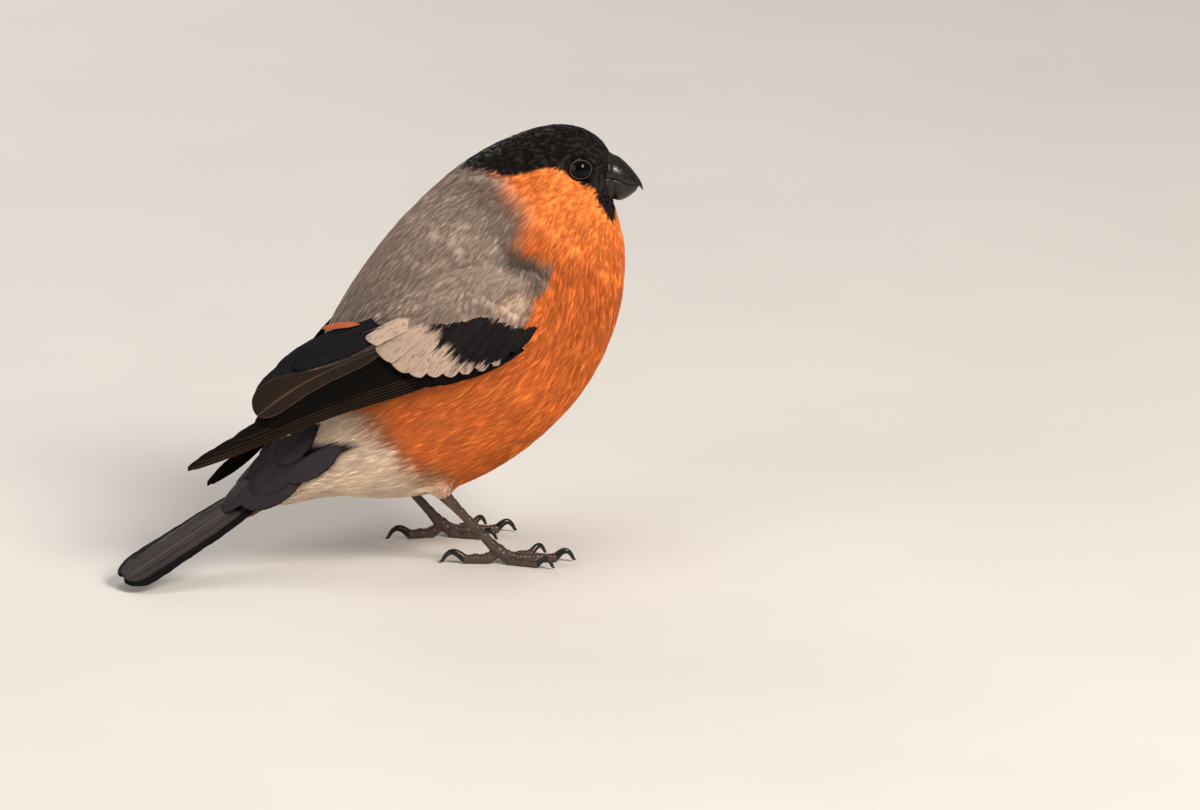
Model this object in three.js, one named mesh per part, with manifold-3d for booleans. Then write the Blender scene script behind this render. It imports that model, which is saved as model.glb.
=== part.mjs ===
// Bullfinch, life size, standing with its head turned to the right.
// Millimetres, +Z up, the bird faces +X and its left side is +Y.
import * as THREE from 'three';
import { mergeVertices } from 'three/addons/utils/BufferGeometryUtils.js';
import Module from 'manifold-3d';

const wasm = await Module();
wasm.setup();

// Driving dimensions of the whole bird
const JOINT_GAP = 0.3;
const HEAD_TURN = THREE.MathUtils.degToRad(-25);
const HEAD_PIVOT_X = 10;
const TURN_START = 8;
const TURN_END = 3.5;
const SECTION_POWER = 2.25;
const BODY_SIDES = 28;
const WELD = 1e-4;

// Sections of the body from the bill to the root of the tail:
// top line x, z, bottom line x, z, half width, and how high the widest line lies
const SECTIONS = [
  [31.6, 85.4, 30.6, 75.6, 4.9, 0.5],
  [29.0, 88.8, 32.0, 72.9, 8.2, 0.52],
  [24.5, 91.2, 33.0, 70.6, 10.6, 0.53],
  [18.0, 91.6, 34.0, 67.6, 12.2, 0.52],
  [9.5, 89.0, 34.6, 62.8, 14.2, 0.5],
  [0.5, 84.0, 34.4, 56.2, 17.2, 0.48],
  [-8.0, 77.0, 32.8, 48.9, 20.6, 0.47],
  [-16.2, 69.2, 29.4, 41.2, 23.0, 0.46],
  [-23.8, 60.4, 23.8, 33.4, 24.0, 0.45],
  [-29.8, 51.5, 16.2, 26.4, 23.2, 0.45],
  [-34.0, 43.5, 7.0, 20.0, 20.6, 0.46],
  [-38.5, 36.0, -5.0, 15.2, 16.8, 0.48],
  [-43.5, 28.8, -18.5, 14.1, 12.4, 0.5],
  [-48.5, 22.8, -32.0, 16.2, 8.8, 0.5],
  [-52.5, 18.6, -43.5, 14.9, 6.2, 0.5],
];
const LAST_SECTION = SECTIONS.length - 1;

// Where the flesh is parted, in sections from the bill
const HEAD_END = 4.2;
const NECK_END = 6;
const TORSO_END = 11.4;
const ROWS = { whole: 44, head: 12, neck: 6, torso: 14, rump: 7 };

const COLOURS = {
  cap: 0x15151a,
  orange: 0xe0682c,
  white: 0xe6ddd0,
  blueBlack: 0x1d1f2b,
  horn: 0x1b1918,
  leg: 0x4a3a31,
  eye: 0x0b0807,
  lid: 0x55504c,
};

function material(colour, roughness) {
  return new THREE.MeshStandardMaterial({ color: colour, roughness, metalness: 0 });
}

const MATERIALS = {
  cap: material(COLOURS.cap, 0.6),
  orange: material(COLOURS.orange, 0.85),
  white: material(COLOURS.white, 0.85),
  wing: material(COLOURS.blueBlack, 0.45),
  tail: material(COLOURS.blueBlack, 0.4),
  horn: material(COLOURS.horn, 0.35),
  leg: material(COLOURS.leg, 0.55),
  eye: material(COLOURS.eye, 0.05),
  lid: material(COLOURS.lid, 0.6),
};

// Small helpers
const lerp = THREE.MathUtils.lerp;
const smooth = THREE.MathUtils.smoothstep;

function catmull(p0, p1, p2, p3, t) {
  const a = 2 * p1;
  const b = p2 - p0;
  const c = 2 * p0 - 5 * p1 + 4 * p2 - p3;
  const d = 3 * p1 - p0 - 3 * p2 + p3;
  return 0.5 * (a + b * t + c * t * t + d * t * t * t);
}

// A value read along a row of samples, with a smooth curve through them
function sample(values, at) {
  const top = values.length - 1;
  const i = Math.min(Math.max(Math.floor(at), 0), top - 1);
  const pick = (k) => {
    if (k < 0) return 2 * values[0] - values[1];
    if (k > top) return 2 * values[top] - values[top - 1];
    return values[k];
  };
  return catmull(pick(i - 1), pick(i), pick(i + 1), pick(i + 2), at - i);
}

// A closed mesh from rings of points that all hold the same number of points
function ringMesh(rings) {
  const count = rings[0].length;
  const points = rings.flat();
  const index = [];
  for (let r = 0; r < rings.length - 1; r += 1) {
    for (let k = 0; k < count; k += 1) {
      const a = r * count + k;
      const b = r * count + ((k + 1) % count);
      index.push(a, b, b + count, a, b + count, a + count);
    }
  }
  const capEnd = (first, flip) => {
    const centre = new THREE.Vector3();
    for (let k = 0; k < count; k += 1) centre.add(points[first + k]);
    points.push(centre.divideScalar(count));
    const middle = points.length - 1;
    for (let k = 0; k < count; k += 1) {
      const a = first + k;
      const b = first + ((k + 1) % count);
      if (flip) index.push(middle, b, a);
      else index.push(middle, a, b);
    }
  };
  capEnd(0, true);
  capEnd((rings.length - 1) * count, false);
  return closed(points, index);
}

function closed(points, index) {
  const geometry = new THREE.BufferGeometry();
  const flat = points.flatMap((p) => [p.x, p.y, p.z]);
  geometry.setAttribute('position', new THREE.Float32BufferAttribute(flat, 3));
  geometry.setIndex(index);
  return outward(geometry);
}

// Turns the faces round where the mesh came out inside out
function outward(geometry) {
  const p = geometry.getAttribute('position');
  const order = geometry.getIndex().array;
  const [a, b, c] = [new THREE.Vector3(), new THREE.Vector3(), new THREE.Vector3()];
  let volume = 0;
  for (let i = 0; i < order.length; i += 3) {
    a.fromBufferAttribute(p, order[i]);
    b.fromBufferAttribute(p, order[i + 1]);
    c.fromBufferAttribute(p, order[i + 2]);
    volume += a.dot(b.cross(c));
  }
  if (volume < 0) {
    for (let i = 0; i < order.length; i += 3) {
      [order[i + 1], order[i + 2]] = [order[i + 2], order[i + 1]];
    }
  }
  return geometry;
}

// Cutting and joining
function solid(geometry) {
  const plain = geometry.clone();
  plain.deleteAttribute('normal');
  plain.deleteAttribute('uv');
  const merged = mergeVertices(plain, WELD);
  return new wasm.Manifold(new wasm.Mesh({
    numProp: 3,
    vertProperties: new Float32Array(merged.getAttribute('position').array),
    triVerts: new Uint32Array(merged.getIndex().array),
  }));
}

function largest(shape) {
  const pieces = shape.decompose();
  let best = pieces[0];
  for (const piece of pieces) {
    if (piece.volume() > best.volume()) best = piece;
  }
  return best;
}

function geometryOf(shape) {
  const mesh = largest(shape).getMesh();
  const geometry = new THREE.BufferGeometry();
  const points = new Float32Array(mesh.vertProperties);
  geometry.setAttribute('position', new THREE.BufferAttribute(points, 3));
  geometry.setIndex(new THREE.BufferAttribute(new Uint32Array(mesh.triVerts), 1));
  return geometry;
}

function joined(shapes) {
  return shapes.reduce((all, shape) => all.add(shape));
}

// The turn of the head, which fades out down the neck
function turned(point, at) {
  const share = 1 - smooth(at, TURN_END, TURN_START);
  const angle = HEAD_TURN * share;
  const dx = point.x - HEAD_PIVOT_X;
  const x = HEAD_PIVOT_X + dx * Math.cos(angle) - point.y * Math.sin(angle);
  const y = dx * Math.sin(angle) + point.y * Math.cos(angle);
  return new THREE.Vector3(x, y, point.z);
}

function section(at) {
  const read = (column) => sample(SECTIONS.map((row) => row[column]), at);
  const top = new THREE.Vector3(read(0), 0, read(1));
  const bottom = new THREE.Vector3(read(2), 0, read(3));
  const share = read(5);
  const up = top.clone().sub(bottom);
  const depth = up.length();
  up.divideScalar(depth);
  return {
    centre: bottom.clone().addScaledVector(up, depth * share),
    up,
    above: depth * (1 - share),
    below: depth * share,
    half: read(4),
  };
}

// A point of the body's surface: angle 0 is the left side, a quarter turn is the back
function bodyPoint(at, angle, grow = 0) {
  const cut = section(at);
  const power = 2 / SECTION_POWER;
  const across = Math.sign(Math.cos(angle)) * Math.abs(Math.cos(angle)) ** power;
  const along = Math.sign(Math.sin(angle)) * Math.abs(Math.sin(angle)) ** power;
  const height = along > 0 ? cut.above : cut.below;
  const point = cut.centre.clone().addScaledVector(cut.up, along * (height + grow));
  point.y = across * (cut.half + grow);
  return turned(point, at);
}

function bodyLoft(from, to, rows, grow = 0) {
  const rings = [];
  for (let r = 0; r <= rows; r += 1) {
    const ring = [];
    for (let k = 0; k < BODY_SIDES; k += 1) {
      const angle = (2 * Math.PI * k) / BODY_SIDES;
      ring.push(bodyPoint(lerp(from, to, r / rows), angle, grow));
    }
    rings.push(ring);
  }
  return solid(ringMesh(rings));
}

const CHEST_SECTION = 5;
const SEARCH_STEPS = 24;

// Where a point of the torso lies: its section, and 1 where it is on the surface
function bodyDepth(point) {
  let low = CHEST_SECTION;
  let high = LAST_SECTION;
  for (let i = 0; i < SEARCH_STEPS; i += 1) {
    const middle = (low + high) / 2;
    const cut = section(middle);
    const dx = point.x - cut.centre.x;
    const dz = point.z - cut.centre.z;
    // above zero while the point is still behind the section
    if (dx * cut.up.z - dz * cut.up.x < 0) low = middle;
    else high = middle;
  }
  const cut = section(low);
  const dx = point.x - cut.centre.x;
  const dz = point.z - cut.centre.z;
  const rise = dx * cut.up.x + dz * cut.up.z;
  const height = rise > 0 ? cut.above : cut.below;
  const y = Math.abs(point.y) / cut.half;
  const z = Math.abs(rise) / height;
  const reach = (y ** SECTION_POWER + z ** SECTION_POWER) ** (1 / SECTION_POWER);
  return { cut, reach };
}

// Head frame: the head is drawn straight ahead and then turned
function headPoint(x, y, z) {
  return turned(new THREE.Vector3(x, y, z), 0);
}

// Eyes and lids
const EYE = { x: 24.6, side: 7.5, z: 84.0, radius: 3.1, tilt: 0.16, forward: 0.2 };
const LID = { inner: 2.0, outer: 2.6, top: 3.05, lip: 0.28, spare: 0.02, sides: 16 };
const SOCKET = { floor: 0.5, above: 3 };

function eyeAxis(side) {
  const axis = new THREE.Vector3(EYE.forward, side, EYE.tilt).normalize();
  return axis.applyAxisAngle(new THREE.Vector3(0, 0, 1), HEAD_TURN);
}

function eyeCentre(side) {
  return headPoint(EYE.x, side * EYE.side, EYE.z);
}

function ball(radius, centre, detail = 14) {
  const geometry = new THREE.SphereGeometry(radius, detail, Math.round(detail * 0.7));
  geometry.translate(centre.x, centre.y, centre.z);
  return solid(geometry);
}

// A ring or disc turned about an axis: the profile is radius and height pairs
function turnedPiece(profile, base, axis, sides) {
  const outline = profile.map(([r, h]) => new THREE.Vector2(r, h));
  const geometry = new THREE.LatheGeometry(outline, sides);
  const spin = new THREE.Quaternion().setFromUnitVectors(new THREE.Vector3(0, 1, 0), axis);
  geometry.applyQuaternion(spin);
  geometry.translate(base.x, base.y, base.z);
  return solid(outward(mergeVertices(stripped(geometry), WELD)));
}

function stripped(geometry) {
  geometry.deleteAttribute('normal');
  geometry.deleteAttribute('uv');
  return geometry;
}

// The lid is a thin collar that lies on the eyeball
function lidRing(side) {
  const { inner, outer, top, lip } = LID;
  const clear = EYE.radius + JOINT_GAP;
  const level = (r) => Math.sqrt(clear ** 2 - r ** 2) + LID.spare;
  const profile = [
    [inner, level(inner)],
    [outer, level(outer)],
    [outer, top - lip],
    [outer - lip, top],
    [inner, top],
    [inner, level(inner)],
  ];
  return turnedPiece(profile, eyeCentre(side), eyeAxis(side), LID.sides);
}

// The hollow in the head that takes an eyeball and its lid
function socket(side) {
  const wide = LID.outer + JOINT_GAP;
  const high = LID.top + SOCKET.above;
  const profile = [[0, SOCKET.floor], [wide, SOCKET.floor], [wide, high], [0, high]];
  const mouth = turnedPiece(profile, eyeCentre(side), eyeAxis(side), LID.sides);
  return ball(EYE.radius + JOINT_GAP, eyeCentre(side)).add(mouth);
}

// Bill: both halves are lofted along the head from the face to the hooked tip
const BILL = {
  root: 31.95,
  tip: 38.3,
  culmen: [85.3, 84.7, 83.6, 82.2, 80.4, 78.2],
  mouth: [81.2, 80.7, 80.1, 79.7, 79.3, 77.7],
  gonys: [75.8, 75.5, 75.9, 76.7, 77.7, 78.3],
  half: [4.5, 4.3, 3.75, 2.9, 1.75, 0.35],
  lowerTip: 37.3,
  lowerShare: 0.93,
  lowerDepth: 0.3,
  mouthGap: 0.35,
  roundness: 0.85,
  sides: 14,
  rows: 9,
};

function billUpper() {
  const rings = [];
  for (let r = 0; r <= BILL.rows; r += 1) {
    const t = r / BILL.rows;
    const row = t * (BILL.culmen.length - 1);
    const x = lerp(BILL.root, BILL.tip, t);
    const [top, low] = [sample(BILL.culmen, row), sample(BILL.mouth, row)];
    rings.push(mandibleRing(x, low, top, sample(BILL.half, row)));
  }
  return solid(ringMesh(rings));
}

function billLower() {
  const rings = [];
  const reach = (BILL.lowerTip - BILL.root) / (BILL.tip - BILL.root);
  for (let r = 0; r <= BILL.rows; r += 1) {
    const row = (r / BILL.rows) * reach * (BILL.culmen.length - 1);
    const x = lerp(BILL.root, BILL.lowerTip, r / BILL.rows);
    const high = sample(BILL.mouth, row) - BILL.mouthGap;
    const low = Math.min(sample(BILL.gonys, row), high - BILL.lowerDepth);
    rings.push(mandibleRing(x, high, low, sample(BILL.half, row) * BILL.lowerShare));
  }
  return solid(ringMesh(rings));
}

// Half an oval: flat along the mouth and round away from it
function mandibleRing(x, flatZ, roundZ, half) {
  const ring = [];
  for (let k = 0; k < BILL.sides; k += 1) {
    const angle = (Math.PI * k) / (BILL.sides - 1);
    const y = half * Math.cos(angle);
    const z = lerp(flatZ, roundZ, Math.abs(Math.sin(angle)) ** BILL.roundness);
    ring.push(headPoint(x, y, z));
  }
  return ring;
}

const NOSTRIL = { x: 32.9, side: 3.1, z: 83.0, radius: 0.55 };

function nostril(side) {
  return ball(NOSTRIL.radius, headPoint(NOSTRIL.x, side * NOSTRIL.side, NOSTRIL.z), 8);
}

// Feathers: every vane lies on a sheet that gives a point for (along, across)
const VANE_THICK = 0.55;
const SHEET_STEP = 0.01;

function sheetFrame(sheet, u, v) {
  const step = SHEET_STEP;
  const along = sheet(u + step, v).sub(sheet(u - step, v)).divideScalar(2 * step);
  const across = sheet(u, v + step).sub(sheet(u, v - step)).divideScalar(2 * step);
  return { point: sheet(u, v), normal: along.cross(across).normalize(), width: across.length() };
}

const ROOT_SHARE = 0.55;
const ROOT_GROWTH = 1.4;

// Half the width of a vane along its length, as a share of the widest
function vaneWidth(t, tipShare) {
  return t === 1 ? tipShare : Math.min(1, ROOT_SHARE + ROOT_GROWTH * t);
}

// A closed thin vane with a shaft line in the middle, split alike on both faces
function vane(sheet, shape) {
  const { root, tip, half, lift, sink = 0, tilt = 0.5, crown = 0.25, rows = 6, blunt = 0.7, tipShare = 0.35 } = shape;
  const side = shape.outward ?? 1;
  const floor = shape.floor ?? -Infinity;
  const rings = [];
  for (let r = 0; r <= rows; r += 1) {
    const t = r === rows ? 1 : (r / (rows - 1)) * blunt;
    const u = lerp(root[0], tip[0], t);
    const v = lerp(root[1], tip[1], t);
    const frame = sheetFrame(sheet, u, v);
    const wide = half * vaneWidth(t, tipShare);
    const ring = [];
    for (const [share, bump] of [[-1, 0], [0, crown], [1, 0]]) {
      const base = sheet(u, v + (share * wide) / frame.width);
      const height = lift - sink * (1 - t) - share * tilt + bump;
      ring.push(base.addScaledVector(frame.normal, side * height));
    }
    const under = [];
    for (const point of [...ring].reverse()) {
      const low = point.clone().addScaledVector(frame.normal, -side * VANE_THICK);
      low.z = Math.max(low.z, floor);
      under.push(low);
    }
    rings.push([...ring, ...under]);
  }
  return solid(ringMesh(rings));
}

// Wing: a curved sheet over the flank and back, from the bend to the tip.
// Points along its lower edge, middle and upper edge, for the right wing
const WING_LOWER = [
  [12, -20, 53], [-5, -24.5, 47], [-22, -23, 41.5], [-38, -17.5, 37], [-53, -12, 31.2], [-68.3, -8.8, 26],
];
const WING_MIDDLE = [
  [6, -22, 61], [-12, -23, 54.5], [-28, -19, 47.5], [-42, -12.8, 40.5], [-55.5, -9, 33], [-68.6, -7.2, 27.6],
];
const WING_UPPER = [
  [-3, -19, 68.5], [-18, -15, 62], [-32, -8, 53.2], [-44.5, -4.8, 44.2], [-57, -4.8, 35.2], [-68.6, -5.4, 29.2],
];
// The left wing hangs a little lower and further forward, all the more at its tip,
// and its tip stands upright beside the tail
const LEFT_DROOP = { forward: 9, inward: 3, down: 6.4, edge: 1.5 };
const LEFT_TIP = { from: 0.5, to: 0.9, upright: 0.85, rise: 2.6 };
const WING_CLEAR = 1.5;
const BODY_BLEND = 0.06;
const FAR_OUTSIDE = 40;

function wingRow(row, u) {
  const at = u * (row.length - 1);
  return new THREE.Vector3(
    sample(row.map((p) => p[0]), at),
    sample(row.map((p) => p[1]), at),
    sample(row.map((p) => p[2]), at),
  );
}

function wingSheet(side) {
  return (u, v) => {
    const low = wingRow(WING_LOWER, u);
    const middle = wingRow(WING_MIDDLE, u);
    const high = wingRow(WING_UPPER, u);
    const point = new THREE.Vector3();
    point.addScaledVector(low, (1 - v) * (1 - 2 * v));
    point.addScaledVector(middle, 4 * v * (1 - v));
    point.addScaledVector(high, v * (2 * v - 1));
    if (side > 0) {
      const share = smooth(u, LEFT_TIP.from, LEFT_TIP.to);
      point.y = lerp(point.y, middle.y, LEFT_TIP.upright * share);
      point.z += LEFT_TIP.rise * (v - 0.5) * share;
      point.x += LEFT_DROOP.forward * u;
      point.y += LEFT_DROOP.inward * u;
      point.z -= LEFT_DROOP.down * u + LEFT_DROOP.edge * v * Math.sin(Math.PI * u);
    }
    const clear = clearOfBody(point, WING_CLEAR);
    clear.y *= -side;
    return clear;
  };
}

// Moves a point that is sunk in the torso out to a little above its surface
function clearOfBody(point, clear) {
  const { cut, reach } = bodyDepth(point);
  const wanted = 1 + clear / cut.half;
  const excess = (reach - wanted) / BODY_BLEND;
  const out = wanted + BODY_BLEND * Math.log(1 + Math.exp(Math.min(excess, FAR_OUTSIDE)));
  const scale = excess > FAR_OUTSIDE ? 1 : out / reach;
  return new THREE.Vector3(
    cut.centre.x + (point.x - cut.centre.x) * scale,
    point.y * scale,
    cut.centre.z + (point.z - cut.centre.z) * scale,
  );
}

// The flesh and small feathers of the shoulder, which carries the vanes
const SHOULDER = {
  from: -0.04, to: 0.48, low: 0.02, high: 1.04, over: 0.5, under: 2.6, rim: 0.3, rows: 8, columns: 6,
};

function shoulder(sheet, side) {
  const { rows, columns } = SHOULDER;
  const rings = [];
  for (let r = 0; r <= rows; r += 1) {
    const t = r / rows;
    const u = lerp(SHOULDER.from, SHOULDER.to, t);
    const taper = Math.sqrt(Math.max(0.02, 1 - (2 * t - 1) ** 4));
    const middle = (SHOULDER.low + SHOULDER.high) / 2;
    const half = ((SHOULDER.high - SHOULDER.low) / 2) * lerp(0.35, 1, taper);
    const over = [];
    const under = [];
    for (let c = 0; c <= columns; c += 1) {
      const share = (2 * c) / columns - 1;
      const frame = sheetFrame(sheet, u, middle + half * share);
      const round = Math.sqrt(Math.max(0, 1 - share ** 4)) * taper;
      over.push(frame.point.clone().addScaledVector(frame.normal, side * SHOULDER.over * round));
      const depth = -SHOULDER.rim - SHOULDER.under * round;
      under.unshift(frame.point.clone().addScaledVector(frame.normal, side * depth));
    }
    rings.push([...over, ...under]);
  }
  return solid(ringMesh(rings));
}

// Tiers of the folded wing: how many vanes, and rows of places that their roots and tips follow
const TIERS = {
  primaries: {
    count: 6, root: [[0.28, 0.07], [0.33, 0.17], [0.39, 0.29]], tip: [[1.0, 0.21], [0.97, 0.33], [0.8, 0.42]],
    half: [2.1, 2.4], lift: [-0.9, 0.1], tilt: 0.45, blunt: 0.7, rows: 5,
  },
  secondaries: {
    count: 4, root: [[0.38, 0.36], [0.4, 0.6]], tip: [[0.75, 0.46], [0.72, 0.62]],
    half: [2.8, 3.2], lift: [0.15, 0.8], tilt: 0.5, blunt: 0.75, rows: 4,
  },
  tertials: {
    count: 3, root: [[0.36, 0.68], [0.34, 0.8], [0.33, 0.92]], tip: [[0.735, 0.72], [0.6, 0.92], [0.61, 1.07]],
    half: [3.8, 3.0], lift: [1.2, 1.6], tilt: 0.3, blunt: 0.75, rows: 4,
  },
  primaryCoverts: {
    count: 2, root: [[0.14, 0.06], [0.18, 0.18]], tip: [[0.36, 0.07], [0.38, 0.18]],
    half: [1.8, 1.9], lift: [0.1, 0.5], tilt: 0.4, blunt: 0.6, rows: 3,
  },
  greaterCoverts: {
    count: 6,
    root: [[0.03, 0.2], [0.03, 0.42], [0.07, 0.63], [0.11, 0.75], [0.2, 0.9]],
    tip: [[0.17, 0.09], [0.245, 0.1], [0.34, 0.23], [0.385, 0.4], [0.38, 0.74]],
    half: [2.1, 2.9], lift: [0.9, 1.6], tilt: 0.4, blunt: 0.7, rows: 3,
  },
};

function tierVanes(sheet, side, tier) {
  const vanes = [];
  for (let i = 0; i < tier.count; i += 1) {
    const t = i / (tier.count - 1);
    const along = (places) => [0, 1].map((k) => sample(places.map((place) => place[k]), t * (places.length - 1)));
    vanes.push(vane(sheet, {
      root: along(tier.root),
      tip: along(tier.tip),
      half: lerp(tier.half[0], tier.half[1], t),
      lift: lerp(tier.lift[0], tier.lift[1], t),
      tilt: tier.tilt,
      blunt: tier.blunt,
      rows: tier.rows,
      outward: side,
    }));
  }
  return vanes;
}

// Tail: a slightly domed sheet that slopes to the ground and rolls to the right
const TAIL = {
  rootX: -46, rootZ: 19.6, tipX: -80.0, tipZ: 2.2, roll: THREE.MathUtils.degToRad(14),
  rootHalf: 3.4, tipHalf: 6.2, dome: 0.25,
};

function tailSheet(u, v) {
  const along = new THREE.Vector3(TAIL.tipX - TAIL.rootX, 0, TAIL.tipZ - TAIL.rootZ);
  const point = new THREE.Vector3(TAIL.rootX, 0, TAIL.rootZ).addScaledVector(along, u);
  const half = lerp(TAIL.rootHalf, TAIL.tipHalf, u);
  const across = new THREE.Vector3(0, Math.cos(TAIL.roll), Math.sin(TAIL.roll));
  const normal = along.clone().cross(across).normalize();
  if (normal.z < 0) normal.negate();
  point.addScaledVector(across, v * half);
  return point.addScaledVector(normal, -TAIL.dome * v * v);
}

// The middle pair of tail feathers is the shortest and lies on top
const RECTRICES = {
  pairs: 6, half: [3.3, 3.0], rootSpread: [0.12, 0.45], tipSpread: [0.24, 0.45],
  lift: 0.4, step: 0.16, tips: [0.93, 0.985, 1], tilt: 0.12, crown: 0.12,
};
const TAIL_COVERTS = { count: 4, half: 2.5, reach: [0.42, 0.3], lift: 1.3, sink: 1.0 };
const VENT_COVERTS = { count: 3, half: 2.6, reach: [0.34, 0.26], lift: -1.7, sink: -1.2 };
const COVERT_FAN = { root: 0.5, tip: 0.75, fall: 0.35, tilt: 0.25, crown: 0.15, rows: 4 };

function tailVanes() {
  const vanes = [];
  for (let pair = RECTRICES.pairs - 1; pair >= 0; pair -= 1) {
    const out = pair / (RECTRICES.pairs - 1);
    for (const side of [-1, 1]) {
      vanes.push(vane(tailSheet, {
        root: [0.02, side * lerp(...RECTRICES.rootSpread, out)],
        tip: [RECTRICES.tips[Math.min(pair, 2)], side * lerp(...RECTRICES.tipSpread, out)],
        half: lerp(...RECTRICES.half, out),
        lift: RECTRICES.lift - RECTRICES.step * pair,
        tilt: side * RECTRICES.tilt,
        crown: RECTRICES.crown,
        blunt: 0.9,
        rows: 5,
        floor: 0,
      }));
    }
  }
  return vanes;
}

// Coverts over and under the root of the tail
function tailCoverts({ count, half, reach, lift, sink }) {
  const vanes = [];
  for (let i = 0; i < count; i += 1) {
    const spot = (2 * i) / (count - 1) - 1;
    const out = Math.abs(spot);
    vanes.push(vane(tailSheet, {
      root: [0.02, spot * COVERT_FAN.root],
      tip: [lerp(reach[0], reach[1], out), spot * COVERT_FAN.tip],
      half,
      lift: lift - COVERT_FAN.fall * out * Math.sign(lift),
      sink,
      tilt: spot * COVERT_FAN.tilt,
      crown: COVERT_FAN.crown,
      rows: COVERT_FAN.rows,
    }));
  }
  return vanes;
}

// Legs: ankle, foot joint and toe tips for each side
const LEG = {
  ankle: [-10.4, 11, 15.6],
  foot: [1.2, 13, 2.6],
  leftBack: 1.4,
  turn: { right: 22, left: 10 },
  shank: [1.4, 1.1, 1.0, 1.05, 1.3],
  sides: 8,
  joint: 1.55,
  steps: 6,
};
const SCUTES = { count: 6, length: 0.85, upper: 1.08, lower: 0.94 };
// Each bone of a toe has a pad under it, and the toe reaches the floor after its first bone
const PAD = { bones: 3, swell: 0.09, reachesFloor: 3.2, root: 1.05, low: 0.78 };
const CLAW = {
  reach: 0.72, rise: 0.75, bend: 1.45, arch: 1.35, width: 0.66, taper: 0.8, tip: 0.1, tipHeight: 0.35,
  rows: 6, sides: 6, floor: 0.05,
};
const CUFF = { top: [-3, 7], middle: [-0.8, 2.2], down: 1.6, radii: [5.2, 4.0, 2.1], sides: 12 };
const STEEP = 0.2;
const TOES = [
  { name: 'inner', angle: 34, length: 9.0, claw: 5.0, width: 1.05 },
  { name: 'middle', angle: 2, length: 12.4, claw: 5.4, width: 1.15 },
  { name: 'outer', angle: -28, length: 9.4, claw: 5.0, width: 1.05 },
  { name: 'hind', angle: 178, length: 7.4, claw: 6.6, width: 1.2 },
];

function legPoint([x, y, z], side) {
  return new THREE.Vector3(x - (side > 0 ? LEG.leftBack : 0), side * y, z);
}

// A tube along a row of points with a radius at each, cut off flat at the floor
function limb(points, radii, sides, floor = -Infinity) {
  const rings = points.map((point, i) => {
    const before = points[Math.max(0, i - 1)];
    const after = points[Math.min(points.length - 1, i + 1)];
    const along = after.clone().sub(before).normalize();
    const across = new THREE.Vector3(0, 0, 1).cross(along);
    if (across.length() < STEEP) across.set(0, 1, 0);
    across.normalize();
    const up = along.clone().cross(across).normalize();
    const ring = [];
    for (let k = 0; k < sides; k += 1) {
      const angle = (2 * Math.PI * (k + 0.5)) / sides;
      const spot = point.clone();
      spot.addScaledVector(across, radii[i] * Math.cos(angle));
      spot.addScaledVector(up, radii[i] * Math.sin(angle));
      spot.z = Math.max(spot.z, floor);
      ring.push(spot);
    }
    return ring;
  });
  return solid(ringMesh(rings));
}

// The bare shank with its row of plates, each a little wider at its upper edge
function shank(side, grow = 0) {
  const [from, to] = [legPoint(LEG.ankle, side), legPoint(LEG.foot, side)];
  const points = [];
  const radii = [];
  const last = LEG.shank.length - 1;
  for (let i = 0; i <= SCUTES.count; i += 1) {
    for (const [edge, swell] of [[0, SCUTES.upper], [SCUTES.length, SCUTES.lower]]) {
      const t = (i + edge) / (SCUTES.count + SCUTES.length);
      points.push(from.clone().lerp(to, t));
      radii.push(sample(LEG.shank, t * last) * swell + grow);
    }
  }
  return limb(points, radii, LEG.sides);
}

function toeDirection(toe, side) {
  const turn = side < 0 ? LEG.turn.right : LEG.turn.left;
  const angle = THREE.MathUtils.degToRad(-toe.angle * side - turn);
  return new THREE.Vector3(Math.cos(angle), Math.sin(angle), 0);
}

// A toe arches from the foot joint down to the floor, with a pad under each bone
function toeLine(toe, side) {
  const start = legPoint(LEG.foot, side);
  const forward = toeDirection(toe, side);
  const points = [];
  const radii = [];
  for (let i = 0; i <= LEG.steps; i += 1) {
    const t = i / LEG.steps;
    const point = start.clone().addScaledVector(forward, toe.length * t);
    const pad = PAD.swell * Math.cos(t * PAD.bones * Math.PI * 2);
    const radius = toe.width * lerp(PAD.root, PAD.low, t) * (1 + pad);
    point.z = Math.max(lerp(start.z, toe.width * PAD.low, Math.min(1, t * PAD.reachesFloor)), radius * PAD.low);
    points.push(point);
    radii.push(radius);
  }
  return { points, radii };
}

function foot(side) {
  const parts = TOES.map((toe) => {
    const { points, radii } = toeLine(toe, side);
    return limb(points, radii, LEG.sides, 0);
  });
  parts.push(ball(LEG.joint, legPoint(LEG.foot, side), 8));
  return joined(parts);
}

function claw(toe, side) {
  const { points } = toeLine(toe, side);
  const end = points[points.length - 1];
  const forward = toeDirection(toe, side);
  const reach = toe.claw * CLAW.reach;
  const rise = toe.width * CLAW.rise;
  const curve = [];
  const radii = [];
  for (let i = 0; i <= CLAW.rows; i += 1) {
    const t = i / CLAW.rows;
    const point = end.clone().addScaledVector(forward, JOINT_GAP + reach * Math.sin(t * CLAW.bend));
    const arch = rise * Math.sin(Math.PI * Math.min(1, t * CLAW.arch));
    point.z = end.z + arch - (end.z - CLAW.tipHeight) * t * t;
    curve.push(point);
    radii.push(toe.width * CLAW.width * (1 - t) ** CLAW.taper + CLAW.tip);
  }
  return limb(curve, radii, CLAW.sides, CLAW.floor);
}

// The feathered cuff between the belly and the ankle
function cuff(side) {
  const ankle = legPoint(LEG.ankle, side);
  const foothold = legPoint(LEG.foot, side);
  const down = foothold.clone().sub(ankle).normalize();
  const beside = ([x, z]) => ankle.clone().add(new THREE.Vector3(x, 0, z));
  const points = [beside(CUFF.top), beside(CUFF.middle), ankle.clone().addScaledVector(down, CUFF.down)];
  return limb(points, CUFF.radii, CUFF.sides);
}

// Assembly
const bird = new THREE.Group();

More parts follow.
